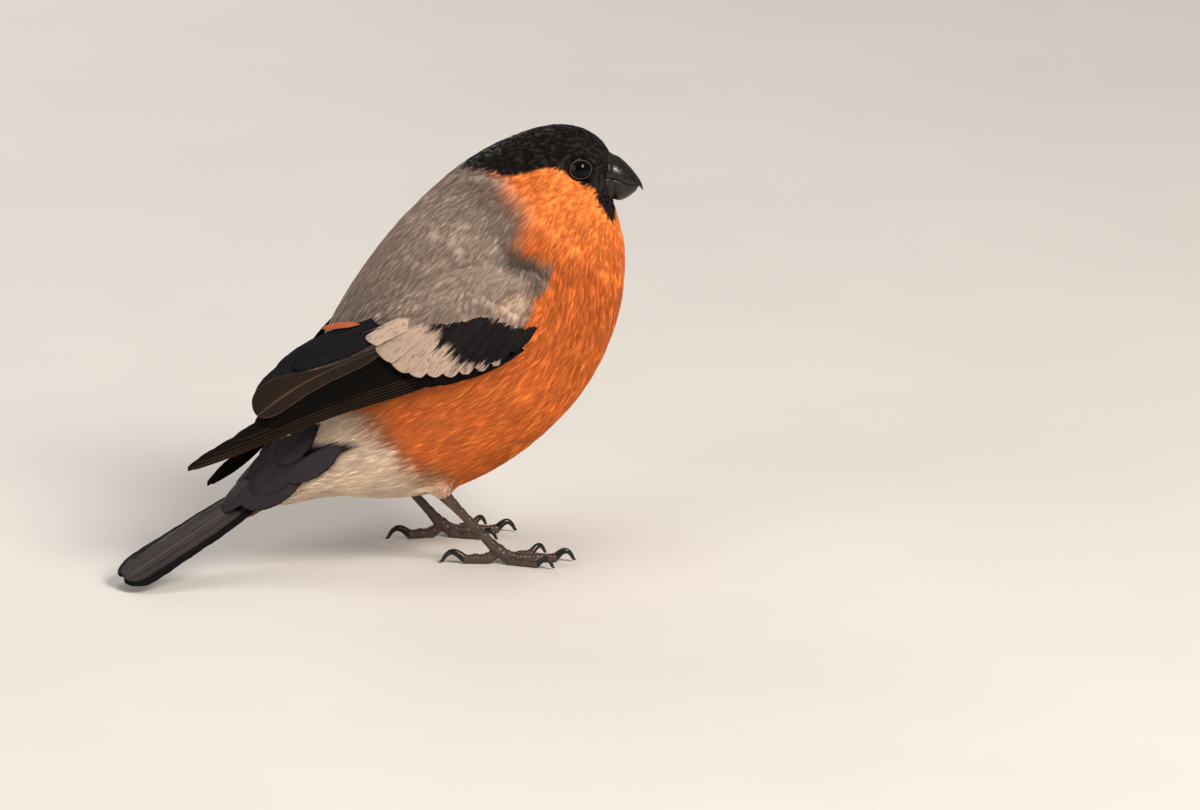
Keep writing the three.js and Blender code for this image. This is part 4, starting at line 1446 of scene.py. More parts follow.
class Strands:
    """Many barbs as closed three-sided spindles."""

    FACES = np.array([(0, 2, 1), (0, 3, 2), (0, 1, 3), (1, 2, 4), (2, 3, 4), (3, 1, 4)])
    POINTS = 5
    RIDGE = 0.5

    @classmethod
    def forms(cls, base: Array, middle: Array, tip: Array, up: Array, width: Array) -> tuple[Array, Array]:
        """Shapes barbs through three points each.

        Args:
            base: where each barb starts.
            middle: its widest place.
            tip: where it ends.
            up: the direction away from the skin.
            width: its width at the middle.

        Returns:
            Points by barb, and faces for all of them.
        """
        along = unit(tip - base)
        across = unit(np.cross(along, up))
        lift = np.cross(across, along)
        half = (width / 2)[:, None]
        points = np.stack([base, middle - across * half, middle + across * half,
                           middle + lift * half * cls.RIDGE, tip], axis=1)
        first = (np.arange(len(base)) * cls.POINTS)[:, None, None]
        rows = outward(points[0], [cls.FACES])[0]
        return points, (rows[None] + first).reshape(-1, 3)


@dataclass
class Coat:
    """Small body feathers over the skin, each a soft fan of barbs."""

    skin: Skin
    seed: int = 7
    candidates: int = 70000
    shaft_steps: int = 4
    clumps: int = 5
    gather: float = 0.15
    piece_limit: int = 180000
    patch: float = 0.003
    # the last small feathers of the shoulder rise this high over the roots of the coverts
    over: float = 1.4
    # no feathers grow on the body this near to each wing's vanes
    wing_cover: dict = field(default_factory=lambda: {-1: 4.2, 1: 2.6})
    # feathers of the face end at this x for each height
    FACE_EDGE = ((32.6, 74.5), (31.9, 76.8), (31.1, 78.7), (30.6, 80.5), (30.8, 82.0), (32.0, 84.0),
                 (33.2, 86.4))

    def roots(self, rng: Chance) -> dict[str, Array]:
        """Scatters the roots evenly over the skin.

        Args:
            rng: the seeded source of chance.

        Returns:
            Places, normals, guide values, masks and fields of the roots.
        """
        corner = self.skin.points[self.skin.faces]
        area = np.linalg.norm(np.cross(corner[:, 2] - corner[:, 0], corner[:, 3] - corner[:, 1]), axis=1)
        pick = rng.choice(len(area), self.candidates, p=area / area.sum())
        a, b = rng.random((2, self.candidates, 1))
        chosen = corner[pick]
        place = lerp(lerp(chosen[:, 0], chosen[:, 1], a), lerp(chosen[:, 3], chosen[:, 2], a), b)
        normal = unit(self.skin.normals[self.skin.faces[pick]].mean(axis=1))
        facts = self.skin.guide.read(place)
        facts.update(place=place, normal=normal)
        facts["masks"] = Markings.read(facts["straight"], facts["region"])
        facts["tract"] = Markings.tract(facts["straight"], facts["at"], facts["region"], facts["masks"])
        open_skin = self.uncovered(facts)
        spacing = np.array([TUFTS[tract].spacing for tract in Tract])[facts["tract"]]
        spacing = spacing * self.face_share(facts["straight"])
        kept = self.spaced(place, spacing, open_skin)
        return {key: rows[kept] for key, rows in facts.items()}

    @staticmethod
    def face_share(straight: Array) -> Array:
        """Feathers are smaller towards the bill: their size as a share of the field's own."""
        away = np.linalg.norm(straight - np.array([33.0, 0.0, 81.0]), axis=1)
        return lerp(0.55, 1.0, smoothstep(away, 3.0, 14.0))

    def uncovered(self, facts: dict[str, Array]) -> Array:
        """Where feathers grow: not in the eyes, under the wings or inside the bill."""
        place, straight = facts["place"], facts["straight"]
        front = np.interp(straight[:, 2], *zip(*((height, x) for x, height in self.FACE_EDGE)))
        grows = (facts["at"] > 0.05) & ~((straight[:, 0] > front) & (facts["at"] < 2.5))
        for side in SIDES.values():
            rise, flat = Eye.apart(place, side)
            grows &= ~((flat < Eye.FEATHER_EDGE) & (rise > 0))
            u, v = np.meshgrid(np.linspace(0.3, 0.95, 40), np.linspace(0.12, 0.98, 24), indexing="ij")
            tree = search_tree(WingSheet(side).at(u, Wing.lowered(v, side)).reshape(-1, 3))
            near = np.array([tree.find(point)[2] for point in place])
            hidden = (facts["region"] == Region.BODY.value) & (near < self.wing_cover[side])
            grows &= ~hidden
        wing = facts["region"] == Region.WING.value
        above = Wing.above_coverts(place, straight)
        facts["over"] = self.over * (1 - smoothstep(above, 0.04, 0.3)) * wing
        return grows & ~(wing & (above < 0))

    @staticmethod
    def spaced(place: Array, spacing: Array, allowed: Array) -> Array:
        """Keeps places that are no closer than their spacing.

        Args:
            place: places in random order.
            spacing: the least distance of each.
            allowed: which places may be kept.

        Returns:
            The numbers of the kept places.
        """
        cell = float(spacing.max())
        keys = np.floor(place / cell).astype(int).tolist()
        spots = place.tolist()
        limits = (spacing**2).tolist()
        table: dict[tuple, list] = {}
        kept = []
        around = [(i, j, k) for i in (-1, 0, 1) for j in (-1, 0, 1) for k in (-1, 0, 1)]
        for index in np.flatnonzero(allowed).tolist():
            x, y, z = spots[index]
            kx, ky, kz = keys[index]
            limit = limits[index]
            free = True
            for i, j, k in around:
                for px, py, pz in table.get((kx + i, ky + j, kz + k), ()):
                    if (px - x) ** 2 + (py - y) ** 2 + (pz - z) ** 2 < limit:
                        free = False
                        break
                if not free:
                    break
            if free:
                table.setdefault((kx, ky, kz), []).append((x, y, z))
                kept.append(index)
        return np.array(kept)

    def shafts(self, place: Array, normal: Array, lie: Array, length: Array) -> dict[str, Array]:
        """Runs each shaft along the skin.

        Args:
            place: roots.
            normal: outward directions at the roots.
            lie: directions of growth.
            length: lengths.

        Returns:
            Points, normals and directions at each step.
        """
        lie = unit(lie - dot(lie, normal) * normal)
        points, normals, runs = [place], [normal], [lie]
        for _ in range(self.shaft_steps):
            guess = points[-1] + runs[-1] * (length / self.shaft_steps)[:, None]
            spot, up = self.skin.nearest(guess)
            up = unit(0.5 * normals[-1] + 0.5 * up)
            points.append(spot)
            normals.append(up)
            runs.append(unit(runs[-1] - dot(runs[-1], up) * up))
        return {"point": np.stack(points, 1), "normal": np.stack(normals, 1), "run": np.stack(runs, 1)}

    def fan(self, shaft: dict[str, Array], size: TuftSize, scale: Array, over: Array,
            rng: Chance) -> dict:
        """Lays the barbs of one field's feathers along their shafts.

        Args:
            shaft: points, normals and directions of the shafts.
            size: the field's sizes.
            scale: each feather's size as a share of the field's own.
            over: how much higher each feather's tip stands.
            rng: the seeded source of chance.

        Returns:
            Base, middle and tip points, outward directions, widths, places within the feather and a
            random tone of each barb.
        """
        tufts, barbs = len(scale), size.barbs
        aside = np.linspace(-1, 1, barbs)[None, :] + rng.normal(0, 0.1, (tufts, barbs))
        clump = np.clip(((aside + 1) / 2 * self.clumps).astype(int), 0, self.clumps - 1)
        centre = (clump + 0.5) / self.clumps * 2 - 1

        def by_clump(values: Array) -> Array:
            """Gives every barb the value of its clump."""
            return np.take_along_axis(values, clump, axis=1)

        tip_s = (1.0 - 0.3 * aside**2) * (1 + by_clump(rng.normal(0, 0.04, (tufts, self.clumps))))
        tip_s = tip_s + rng.uniform(-0.46, 0.05, (tufts, barbs))
        run = rng.uniform(0.75, 1.0, (tufts, barbs))
        base_s = np.maximum(0.01, tip_s - run)
        tip_w = 0.9 * size.half_width * lerp(aside, centre, self.gather)
        base_w = size.half_width * aside * 0.82
        middle_s = lerp(base_s, tip_s, 0.4)
        middle_w = lerp(base_w, tip_w, 0.5)
        rise = by_clump(rng.normal(0, 0.035, (tufts, self.clumps))) + rng.normal(0, 0.03, (tufts, barbs))
        single = 0.15 * by_clump(rng.random((tufts, self.clumps))) + 0.85 * rng.random((tufts, barbs))

        def place(s: Array, w: Array, extra: Array) -> tuple[Array, Array]:
            """Points for places along and across the feather."""
            row = np.clip(s, 0, 1.0) * self.shaft_steps
            i = np.minimum(row.astype(int), self.shaft_steps - 1)
            t = (row - i)[..., None]
            one = np.arange(tufts)[:, None]
            point = lerp(shaft["point"][one, i], shaft["point"][one, i + 1], t)
            up = unit(lerp(shaft["normal"][one, i], shaft["normal"][one, i + 1], t))
            along = shaft["run"][one, i]
            point = point + along * (np.maximum(s - 1, 0) * size.length)[..., None]
            camber = 0.12 * (w / size.half_width) ** 2 * size.height
            high = -0.25 + (size.height + 0.25) * np.sin(np.clip(s, 0, 1.1) * 1.45) - camber + extra
            high = high + over[:, None] * np.clip(s, 0, 1)
            wide = (w * scale[:, None])[..., None]
            return point + np.cross(up, along) * wide + up * (high * scale[:, None])[..., None], up

        base, up = place(base_s, base_w, 0.0)
        middle, _ = place(middle_s, middle_w, rise * 0.6 * size.height)
        tip, _ = place(tip_s, tip_w, rise * size.height - 0.06)
        width = size.thick * rng.uniform(0.8, 1.25, (tufts, barbs)) * lerp(0.75, 1.0, scale)[:, None]
        places = np.stack([np.stack([w / size.half_width, s], -1) for s, w in
                           ((base_s, base_w), (middle_s, middle_w), (tip_s, tip_w))], axis=2)
        return {"base": base, "middle": middle, "tip": tip, "up": up, "width": width, "places": places,
                "single": single}

    def batch(self, roots: dict[str, Array], tract: Tract, rng: Chance) -> list[MeshBin]:
        """Makes one field of feathers.

        Args:
            roots: all roots.
            tract: the field.
            rng: the seeded source of chance.

        Returns:
            One or more bins, each under the limit of triangles.
        """
        size = TUFTS[tract]
        mine = np.flatnonzero(roots["tract"] == list(Tract).index(tract))
        if len(mine) == 0:
            return []
        place, normal, lie = (roots[key][mine] for key in ("place", "normal", "lie"))
        share = self.face_share(roots["straight"][mine]) * rng.uniform(0.88, 1.12, len(mine))
        sway = Markings.wave(place, 7.0, 2.3) * 0.05 + rng.normal(0, 0.025, len(mine))
        lie = unit(lie + np.cross(normal, lie) * sway[:, None])
        shaft = self.shafts(place, normal, lie, size.length * share)
        fan = self.fan(shaft, size, share, roots["over"][mine], rng)
        per = size.barbs * len(Strands.FACES)
        chunk = max(1, self.piece_limit // per)
        bins = []
        for first in range(0, len(mine), chunk):
            some = slice(first, first + chunk)
            count = len(mine[some])
            flat = {key: fan[key][some].reshape(-1, *fan[key].shape[2:]) for key in fan}
            points, faces = Strands.forms(*(flat[key] for key in ("base", "middle", "tip", "up", "width")))
            strand = np.empty((len(points), Strands.POINTS, 4))
            strand[..., 0] = flat["single"][:, None]
            # places along each barb, from its base to its tip; the strand tone paints shade that is darker
            # towards the base
            strand[..., 1] = np.array([0, 0.45, 0.45, 0.45, 1.0])
            strand[..., 2] = np.repeat(rng.random(count), size.barbs)[:, None]
            strand[..., 3] = 1.0
            owner = np.repeat(mine[some], size.barbs)
            masks = self.barb_masks(roots, owner, lerp(flat["base"], flat["tip"], 0.35))
            masks = np.repeat(masks[:, None], Strands.POINTS, axis=1)
            local = flat["places"][:, [0, 1, 1, 1, 2]] * np.array([0.5, 1.0]) - np.array([0.0, 0.5])
            unwrap = (roots["unwrap"][owner][:, None] + local * self.patch).reshape(-1, 2)
            bins.append(MeshBin().add(points.reshape(-1, 3), [faces], [unwrap[faces]],
                                      markings=masks.reshape(-1, 4), strand=strand.reshape(-1, 4)))
        return bins

    @staticmethod
    def barb_masks(roots: dict[str, Array], owner: Array, place: Array) -> Array:
        """The markings at each barb's own place.

        Args:
            roots: all roots.
            owner: the number of each barb's root.
            place: a point low on each barb.

        Returns:
            Black, grey, cream and flush of each barb.
        """
        offset = place - roots["place"][owner]
        head = 1 - smoothstep(roots["at"][owner], BodyForm.TURN_END, BodyForm.TURN_START)
        x, y = spun(offset[:, 0], offset[:, 1], -BodyForm.HEAD_TURN * head)
        straight = roots["straight"][owner] + np.stack([x, y, offset[:, 2]], axis=1)
        return Markings.read(straight, roots["region"][owner])

    def build(self, finish: Material, black: Material) -> None:
        """Makes every field of feathers.

        Args:
            finish: the plumage material.
            black: the material of black plumage.
        """
        rng = np.random.default_rng(self.seed)
        roots = self.roots(rng)
        LOG.info("coat: %d feathers", len(roots["place"]))
        for tract in Tract:
            slot = TUFTS[tract].slot
            paint = black if slot == "black_plumage" else finish
            for number, store in enumerate(self.batch(roots, tract, rng), start=1):
                store.dress(f"coat_{tract.value}_{number}", paint, slot)


class VaneKind(Enum):
    """How a vane is coloured."""

    BLUE_BLACK = "blue_black"
    SECONDARY = "secondary"
    PRIMARY = "primary"
    BROWN = "brown"
    BAR = "bar"
    RED = "red"
    TAIL = "tail"
    OUTER_TAIL = "outer_tail"
    UPPERTAIL = "uppertail"
    VENT = "vent"


# body colour, colour of the narrow edge, width of that edge in millimetres, colour of the shaft
VANE_COLOURS: dict[VaneKind, tuple] = {
    VaneKind.BLUE_BLACK: (srgb(25, 23, 27), srgb(16, 14, 17), 0.3, srgb(9, 8, 8)),
    VaneKind.SECONDARY: (srgb(7, 5, 4), srgb(14, 11, 9), 0.25, srgb(5, 4, 4)),
    # the near-black of the secondaries is partly their own black and partly painted shade, as they lie under
    # the tertials; the primary coverts take the same colours
    VaneKind.PRIMARY: (srgb(13, 9, 6), srgb(50, 36, 26), 0.2, srgb(9, 7, 5)),
    VaneKind.BROWN: (srgb(36, 27, 22), srgb(72, 56, 44), 0.14, srgb(92, 72, 56)),
    VaneKind.BAR: (srgb(20, 17, 18), srgb(13, 11, 12), 0.3, srgb(8, 7, 8)),
    VaneKind.RED: (srgb(168, 84, 50), srgb(150, 84, 56), 0.5, srgb(60, 30, 20)),
    # the middle pair's grey is partly painted sheen on black feathers; the outer pairs below it keep their
    # own black
    VaneKind.TAIL: (srgb(56, 51, 52), srgb(40, 36, 37), 0.25, srgb(88, 80, 77)),
    VaneKind.OUTER_TAIL: (srgb(12, 10, 10), srgb(22, 20, 21), 0.25, srgb(9, 8, 8)),
    VaneKind.UPPERTAIL: (srgb(45, 41, 45), srgb(36, 32, 35), 0.3, srgb(31, 28, 31)),
    VaneKind.VENT: (srgb(232, 204, 174), srgb(242, 220, 194), 0.4, srgb(222, 194, 166)),
}
BAR_TIP = srgb(166, 143, 127)


@dataclass(frozen=True)
class Vane:
    """One feather with a closed vane on a sheet. Sizes are millimetres, places are sheet units."""

    root: tuple
    tip: tuple
    low: float
    high: float
    lift: float
    kind: VaneKind
    sink: float = 0.6
    tilt: float = 0.45
    crown: float = 0.25
    bow: float = 0.0
    blunt: float = 0.75
    root_share: float = 0.55
    low_widens: tuple = (0.0, 0.45)
    high_widens: tuple = (0.0, 0.45)
    thick: float = 0.24
    rows: int = 46
    pale_from: float = 2.0
    floor: float = -1e9
    COLUMNS = np.array([-1, -0.94, -0.8, -0.6, -0.4, -0.2, -0.07, 0, 0.07, 0.2, 0.4, 0.6, 0.8, 0.94, 1])
    LOOSE = 45

    def outline(self, t: Array, widens: tuple = (0.0, 0.45)) -> Array:
        """A web's width along the vane, as a share of the widest."""
        rise = lerp(self.root_share, 1.0, smoothstep(t, *widens))
        past = np.clip((t - self.blunt) / (1 - self.blunt), 0, 1)
        return rise * np.sqrt(np.maximum(0.0, 1 - past**2.2))

    def rise(self, t: Array, c: Array) -> Array:
        """How high the vane lies over its sheet at shares along and across it."""
        width = self.outline(t)
        return self.lift - self.sink * (1 - t) ** 2 - c * self.tilt * width + self.crown * (1 - c**2) * width

    def loose_barbs(self, store: MeshBin, sheet: Sheet, rng: Chance, cell: tuple) -> None:
        """Lays loose barbs over the pale part of the vane, past its edges.

        Args:
            store: the bin.
            sheet: the sheet that the vane lies on.
            rng: the seeded source of chance.
            cell: corner and size of the vane's place in the unwrap.
        """
        count, length = self.LOOSE, self.length(sheet)
        side = rng.choice([-1.0, 1.0], count)
        web = np.where(side < 0, self.low, self.high)
        start = rng.uniform(self.pale_from - 0.04, 0.93, count)
        aside = rng.uniform(0.0, 0.75, count) * web
        reach = rng.uniform(1.2, 2.2, count)
        angle = np.radians(rng.uniform(10, 24, count)) * lerp(1.0, 0.4, aside / web)
        shares = np.array([0.0, 0.45, 1.0])[:, None]
        t = np.minimum(start + reach * np.cos(angle) * shares / length, 1.0 + rng.uniform(0.0, 0.05, count))
        w = (aside + reach * np.sin(angle) * shares) * side
        limit = web * np.maximum(self.outline(np.minimum(t, 1.0)), 0.35) + 0.25
        w = np.clip(w, -limit, limit)
        u = lerp(self.root[0], self.tip[0], t)
        v = lerp(self.root[1], self.tip[1], t) + self.bow * np.sin(np.pi * np.minimum(t, 1.0))
        v = v + w / sheet.frame(u, v)["width"]
        frame = sheet.frame(u, v)
        high = self.rise(np.minimum(t, 1.0), w / web) + np.array([-0.05, 0.08, 0.04])[:, None]
        high = high + rng.normal(0, 0.02, count)
        line = frame["point"] + frame["normal"] * high[..., None]
        points, faces = Strands.forms(*line, frame["normal"][1], rng.uniform(0.1, 0.16, count))
        shade = rng.uniform(0.85, 1.05, count)[:, None] * np.array(BAR_TIP)[:3]
        tint = np.concatenate([shade, np.ones((count, 1))], axis=1)
        vane = np.stack([np.zeros(count), np.zeros(count), np.full(count, 1.0), rng.random(count)], axis=1)
        x0, y0, w0, h0 = cell
        column = x0 + w0 * (0.25 + 0.2 * w[1] / web / 2)
        spot = np.stack([column, y0 + h0 * np.clip(t[1], 0, 1) * 0.9], axis=1)
        unwrap, vane, tint = (np.repeat(rows, Strands.POINTS, axis=0) for rows in (spot, vane, tint))
        store.add(points.reshape(-1, 3), [faces], [unwrap[faces]], vane=vane, tint=tint)

    def length(self, sheet: Sheet) -> float:
        """The vane's length in millimetres."""
        ends = sheet.at(np.array([self.root[0], self.tip[0]]), np.array([self.root[1], self.tip[1]]))
        return float(np.linalg.norm(ends[1] - ends[0]))

    def add_to(self, store: MeshBin, sheet: Sheet, rng: Chance, cell: tuple) -> None:
        """Shapes the vane and adds it to a bin.

        Args:
            store: the bin.
            sheet: the sheet that it lies on.
            rng: the seeded source of chance.
            cell: corner and size of its place in the unwrap.
        """
        t = 1 - (1 - np.linspace(0, 1, self.rows)) ** 1.5
        c = self.COLUMNS
        u = lerp(self.root[0], self.tip[0], t)
        v = lerp(self.root[1], self.tip[1], t) + self.bow * np.sin(np.pi * t)
        width = np.where(c[None, :] < 0, self.outline(t, self.low_widens)[:, None],
                         self.outline(t, self.high_widens)[:, None])
        uneven = 1 + 0.02 * np.sin(t * 37 + rng.uniform(0, 6)) + 0.015 * np.sin(t * 83 + rng.uniform(0, 6))
        half = np.where(c[None, :] < 0, self.low, self.high) * width * uneven[:, None]
        middle = sheet.frame(u, v)
        aside = c[None, :] * half
        vv = v[:, None] + aside / middle["width"][:, None]
        frame = sheet.frame(np.broadcast_to(u[:, None], vv.shape), vv)
        high = self.rise(t[:, None], c[None, :])
        ripple = 0.05 * np.sin(c[None, :] * 5 + t[:, None] * 9 + rng.uniform(0, 6)) * np.abs(c[None, :])
        shaft = 0.1 * np.exp(-((c[None, :] / 0.05) ** 2)) * (1 - 0.7 * t[:, None])
        top = frame["point"] + frame["normal"] * (high + ripple + shaft)[..., None]
        thin = self.thick * lerp(0.35, 1.0, smoothstep(1 - np.abs(c), 0.0, 0.25))[None, :] + shaft
        under = frame["point"] + frame["normal"] * (high + ripple - thin)[..., None]
        top[..., 2] = np.maximum(top[..., 2], self.floor + 0.12)
        under[..., 2] = np.maximum(under[..., 2], self.floor)
        self.close(store, top, under, t, c, half, self.length(sheet), rng, cell)

    def close(self, store: MeshBin, top: Array, under: Array, t: Array, c: Array, half: Array,
              length: float, rng: Chance, cell: tuple) -> None:
        """Closes the two faces of the vane along the rim and adds its colours.

        Args:
            store: the bin.
            top: points of the outer face.
            under: points of the inner face.
            t: shares along the vane.
            c: shares across it.
            half: web width at each point.
            length: the vane's length.
            rng: the seeded source of chance.
            cell: corner and size of its place in the unwrap.
        """
        rows, columns = len(t), len(c)
        count = rows * columns
        faces = grid_faces(rows, columns)
        border = np.concatenate([
            np.arange(columns), np.arange(1, rows) * columns + columns - 1,
            (rows - 1) * columns + np.arange(columns - 2, -1, -1), np.arange(rows - 2, 0, -1) * columns,
        ])
        following = np.roll(border, -1)
        rim = np.stack([border, border + count, following + count, following], axis=1)
        points = np.concatenate([top.reshape(-1, 3), under.reshape(-1, 3)])
        # the outer face and the rim turn the same way round, and the inner face the other way
        blocks = outward(points, [faces, (faces + count)[:, ::-1], rim[:, ::-1]])
        grid_t, grid_c = np.meshgrid(t, c, indexing="ij")
        x0, y0, w, h = cell
        places = np.stack([x0 + w * (0.05 + 0.4 * (grid_c + 1) / 2), y0 + h * (0.04 + 0.92 * grid_t)], -1)
        outer = places.reshape(-1, 2)
        inner = outer + np.array([w * 0.5, 0.0])
        both = np.concatenate([outer, inner])
        rim_places = np.concatenate([outer, outer])
        corners = [both[blocks[0]], both[blocks[1]], rim_places[blocks[2]]]
        along = grid_t * length
        across = grid_c * half
        edge = half * (1 - np.abs(grid_c))
        tint = self.tints(grid_t, grid_c, edge, half, rng)
        vane = np.stack([along, across, edge, np.full(along.shape, rng.random())], axis=-1)
        store.add(points, blocks, corners, vane=np.tile(vane.reshape(-1, 4), (2, 1)),
                  tint=np.tile(tint.reshape(-1, 4), (2, 1)))

    def tints(self, t: Array, c: Array, edge: Array, half: Array, rng: Chance) -> Array:
        """Colours of the vane's points.

        Args:
            t: shares along the vane.
            c: shares across it.
            edge: distances from the rim.
            half: not used.
            rng: the seeded source of chance.

        Returns:
            Linear colours with an alpha of 1.
        """
        body, rim, rim_width, shaft = (np.array(part) if isinstance(part, tuple) else part
                                       for part in VANE_COLOURS[self.kind])
        share = (1 - smoothstep(edge, rim_width * 0.4, rim_width * 1.5))[..., None]
        if self.kind is VaneKind.PRIMARY:
            share = share * np.where(c < 0, 1.0, 0.25)[..., None]
        colour = lerp(body, rim, share)
        on_shaft = np.exp(-((c / 0.045) ** 2))[..., None]
        colour = lerp(colour, shaft, on_shaft * 0.8)
        if self.pale_from < 1:
            ragged = 0.05 * np.sin(c * 6 + rng.uniform(0, 6)) + 0.03 * np.sin(c * 17 + rng.uniform(0, 6))
            reach = t + ragged + 0.08 * (np.abs(c) - 0.5)
            pale = smoothstep(reach, self.pale_from - 0.05, self.pale_from + 0.06)
            colour = lerp(colour, np.array(BAR_TIP), pale[..., None])
        return colour


def cells(count: int, tall: float = 3.0) -> list[tuple]:
    """Places in an unwrap for a number of long patches.

    Args:
        count: how many patches.
        tall: how much taller than wide a patch is.

    Returns:
        Corner x, y, width and height of each.
    """
    columns = max(1, math.ceil(math.sqrt(count * tall)))
    rows = math.ceil(count / columns)
    return [((k % columns) / columns, (k // columns) / rows, 1 / columns, 1 / rows) for k in range(count)]


def between(table: Sequence[tuple], count: int) -> list[tuple]:
    """Spreads a number of rows evenly along a short table, with smooth curves through it.

    Args:
        table: rows of numbers.
        count: how many rows are wanted.

    Returns:
        The rows.
    """
    at = np.linspace(0, len(table) - 1, count)
    return [tuple(row) for row in smooth_row(table, at)]


def laid(vanes: list[Vane], sheet: Sheet, rng: Chance) -> MeshBin:
    """Lays vanes on a sheet, with loose barbs over those that have a pale tip.

    Args:
        vanes: the vanes, from the lowest to the highest.
        sheet: the sheet that they lie on.
        rng: the seeded source of chance.

    Returns:
        The bin that holds them.
    """
    store = MeshBin()
    for vane, cell in zip(vanes, cells(len(vanes))):
        vane.add_to(store, sheet, rng, cell)
        if vane.pale_from < 1:
            vane.loose_barbs(store, sheet, rng, cell)
    return store


@dataclass
class Wing:
    """A folded wing: primaries, secondaries, tertials and three rows of coverts."""

    side: int
    label: str
    # rows are root u, v, tip u, v, lower web, upper web and lift
    primaries: tuple = (
        (0.28, 0.05, 0.98, 0.2, 1.0, 2.0, -1.0), (0.3, 0.1, 1.0, 0.28, 1.1, 2.2, -0.78),
        (0.33, 0.16, 0.985, 0.37, 1.3, 2.4, -0.5), (0.36, 0.22, 0.925, 0.45, 1.4, 2.5, -0.28),
        (0.39, 0.28, 0.84, 0.52, 1.5, 2.6, -0.05),
    )
    secondaries: tuple = (
        (0.36, 0.34, 0.75, 0.44, 1.8, 2.6, 0.15), (0.38, 0.46, 0.735, 0.52, 2.0, 2.8, 0.42),
        (0.38, 0.6, 0.72, 0.62, 2.2, 2.8, 0.7),
    )
    # rows are root u, v, tip u, v, lower web, upper web, lift and where the pale tip starts
    greater: tuple = (
        (0.06, 0.16, 0.15, 0.07, 1.3, 1.6, 0.35, 2.0),
        (0.07, 0.26, 0.208, 0.035, 1.5, 1.9, 0.5, 0.92),
        (0.07, 0.38, 0.245, 0.06, 1.7, 2.1, 0.62, 0.89),
        (0.065, 0.48, 0.28, 0.105, 1.8, 2.3, 0.75, 0.86),
        (0.06, 0.57, 0.312, 0.15, 1.9, 2.4, 0.85, 0.82),
        (0.07, 0.63, 0.34, 0.225, 2.1, 2.5, 0.95, 0.73),
        (0.09, 0.69, 0.37, 0.30, 2.3, 2.6, 1.05, 0.62),
        (0.11, 0.75, 0.385, 0.40, 2.4, 2.7, 1.15, 0.48),
        (0.15, 0.81, 0.388, 0.56, 2.6, 2.8, 1.25, 0.3),
        (0.20, 0.83, 0.38, 0.775, 2.9, 1.4, 1.35, 0.15),
    )
    # how far the roots of these coverts lie in: for each millimetre of lift, for all, and for the upper ones
    root_sink: tuple = (1.6, 0.8, 3.0)
    # the left wing shows its upper edge from behind the back, so there its feathers lie lower
    left_drop: float = 0.6
    LEFT_LOWER = 0.22
    primary_coverts: tuple = (
        (0.12, 0.0, 0.3, 0.0, 1.3, 1.6, -0.3), (0.15, 0.08, 0.36, 0.05, 1.4, 1.7, 0.0),
        (0.18, 0.16, 0.38, 0.14, 1.5, 1.8, 0.3),
    )
    primary_count: int = 6
    secondary_count: int = 6
    covert_count: int = 4
    seed: int = 11
    # small feathers grow above this v for each u
    COAT_EDGE = ((-0.1, -0.5), (0.055, -0.5), (0.06, 0.3), (0.075, 0.44), (0.09, 0.58), (0.14, 0.67),
                 (0.195, 0.72), (0.235, 0.81), (0.28, 0.86), (0.36, 0.94))

    @classmethod
    def lowered(cls, v: Array, side: int) -> Array:
        """Places across the wing, moved down on the left one towards its upper edge."""
        return v - cls.LEFT_LOWER * smoothstep(v, 0.3, 1.0) * (side > 0)

    @classmethod
    def above_coverts(cls, place: Array, straight: Array) -> Array:
        """How far above the greater coverts each place of the shoulders lies.

        Args:
            place: places on the shoulders or elsewhere.
            straight: not turned points, which are the same there.

        Returns:
            Distances across the wing in sheet units, below zero where no small feathers grow.
        """
        above = np.full(len(place), -1.0)
        for side in SIDES.values():
            u, v = np.meshgrid(np.linspace(-0.05, 0.48, 60), np.linspace(0.0, 1.06, 50), indexing="ij")
            u, v = u.ravel(), v.ravel()
            tree = search_tree(WingSheet(side).at(u, v))
            mine = np.flatnonzero(np.sign(straight[:, 1]) == side)
            near = np.array([tree.find(place[i])[1] for i in mine])
            above[mine] = v[near] - cls.lowered(np.interp(u[near], *zip(*cls.COAT_EDGE)), side)
        return above

    def tertials(self) -> list[Vane]:
        """The innermost feathers, which cover the folded wing."""
        shared = {"thick": 0.26, "crown": 0.35}
        dark = {"kind": VaneKind.BLUE_BLACK, "tilt": -0.3, **shared}
        wide = 3.8 if self.side > 0 else 5.3
        vanes = [
            Vane((0.37, 0.95), (0.7, 1.0), 1.8, 2.2, 0.95, blunt=0.7, **dark),
            Vane((0.33, 0.9), (0.61, 1.07), 2.6, 2.0, 1.15, blunt=0.55, **dark),
            Vane((0.34, 0.78), (0.575, 0.94), 2.7, 2.4, 1.35, blunt=0.62, bow=-0.02, **dark),
            Vane((0.35, 0.65), (0.738, 0.645), 2.7, wide, 1.6, VaneKind.BROWN, sink=1.2, tilt=-0.1, blunt=0.8,
                 bow=0.035, root_share=0.14, low_widens=(-0.1, 0.3), high_widens=(0.3, 0.82), **shared),
        ]
        if self.side < 0:
            vanes.append(Vane((0.36, 0.94), (0.44, 1.07), 1.3, 1.1, 1.75, VaneKind.RED, sink=0.5, tilt=0.1,
                              blunt=0.3, thick=0.2, rows=20))
        return vanes

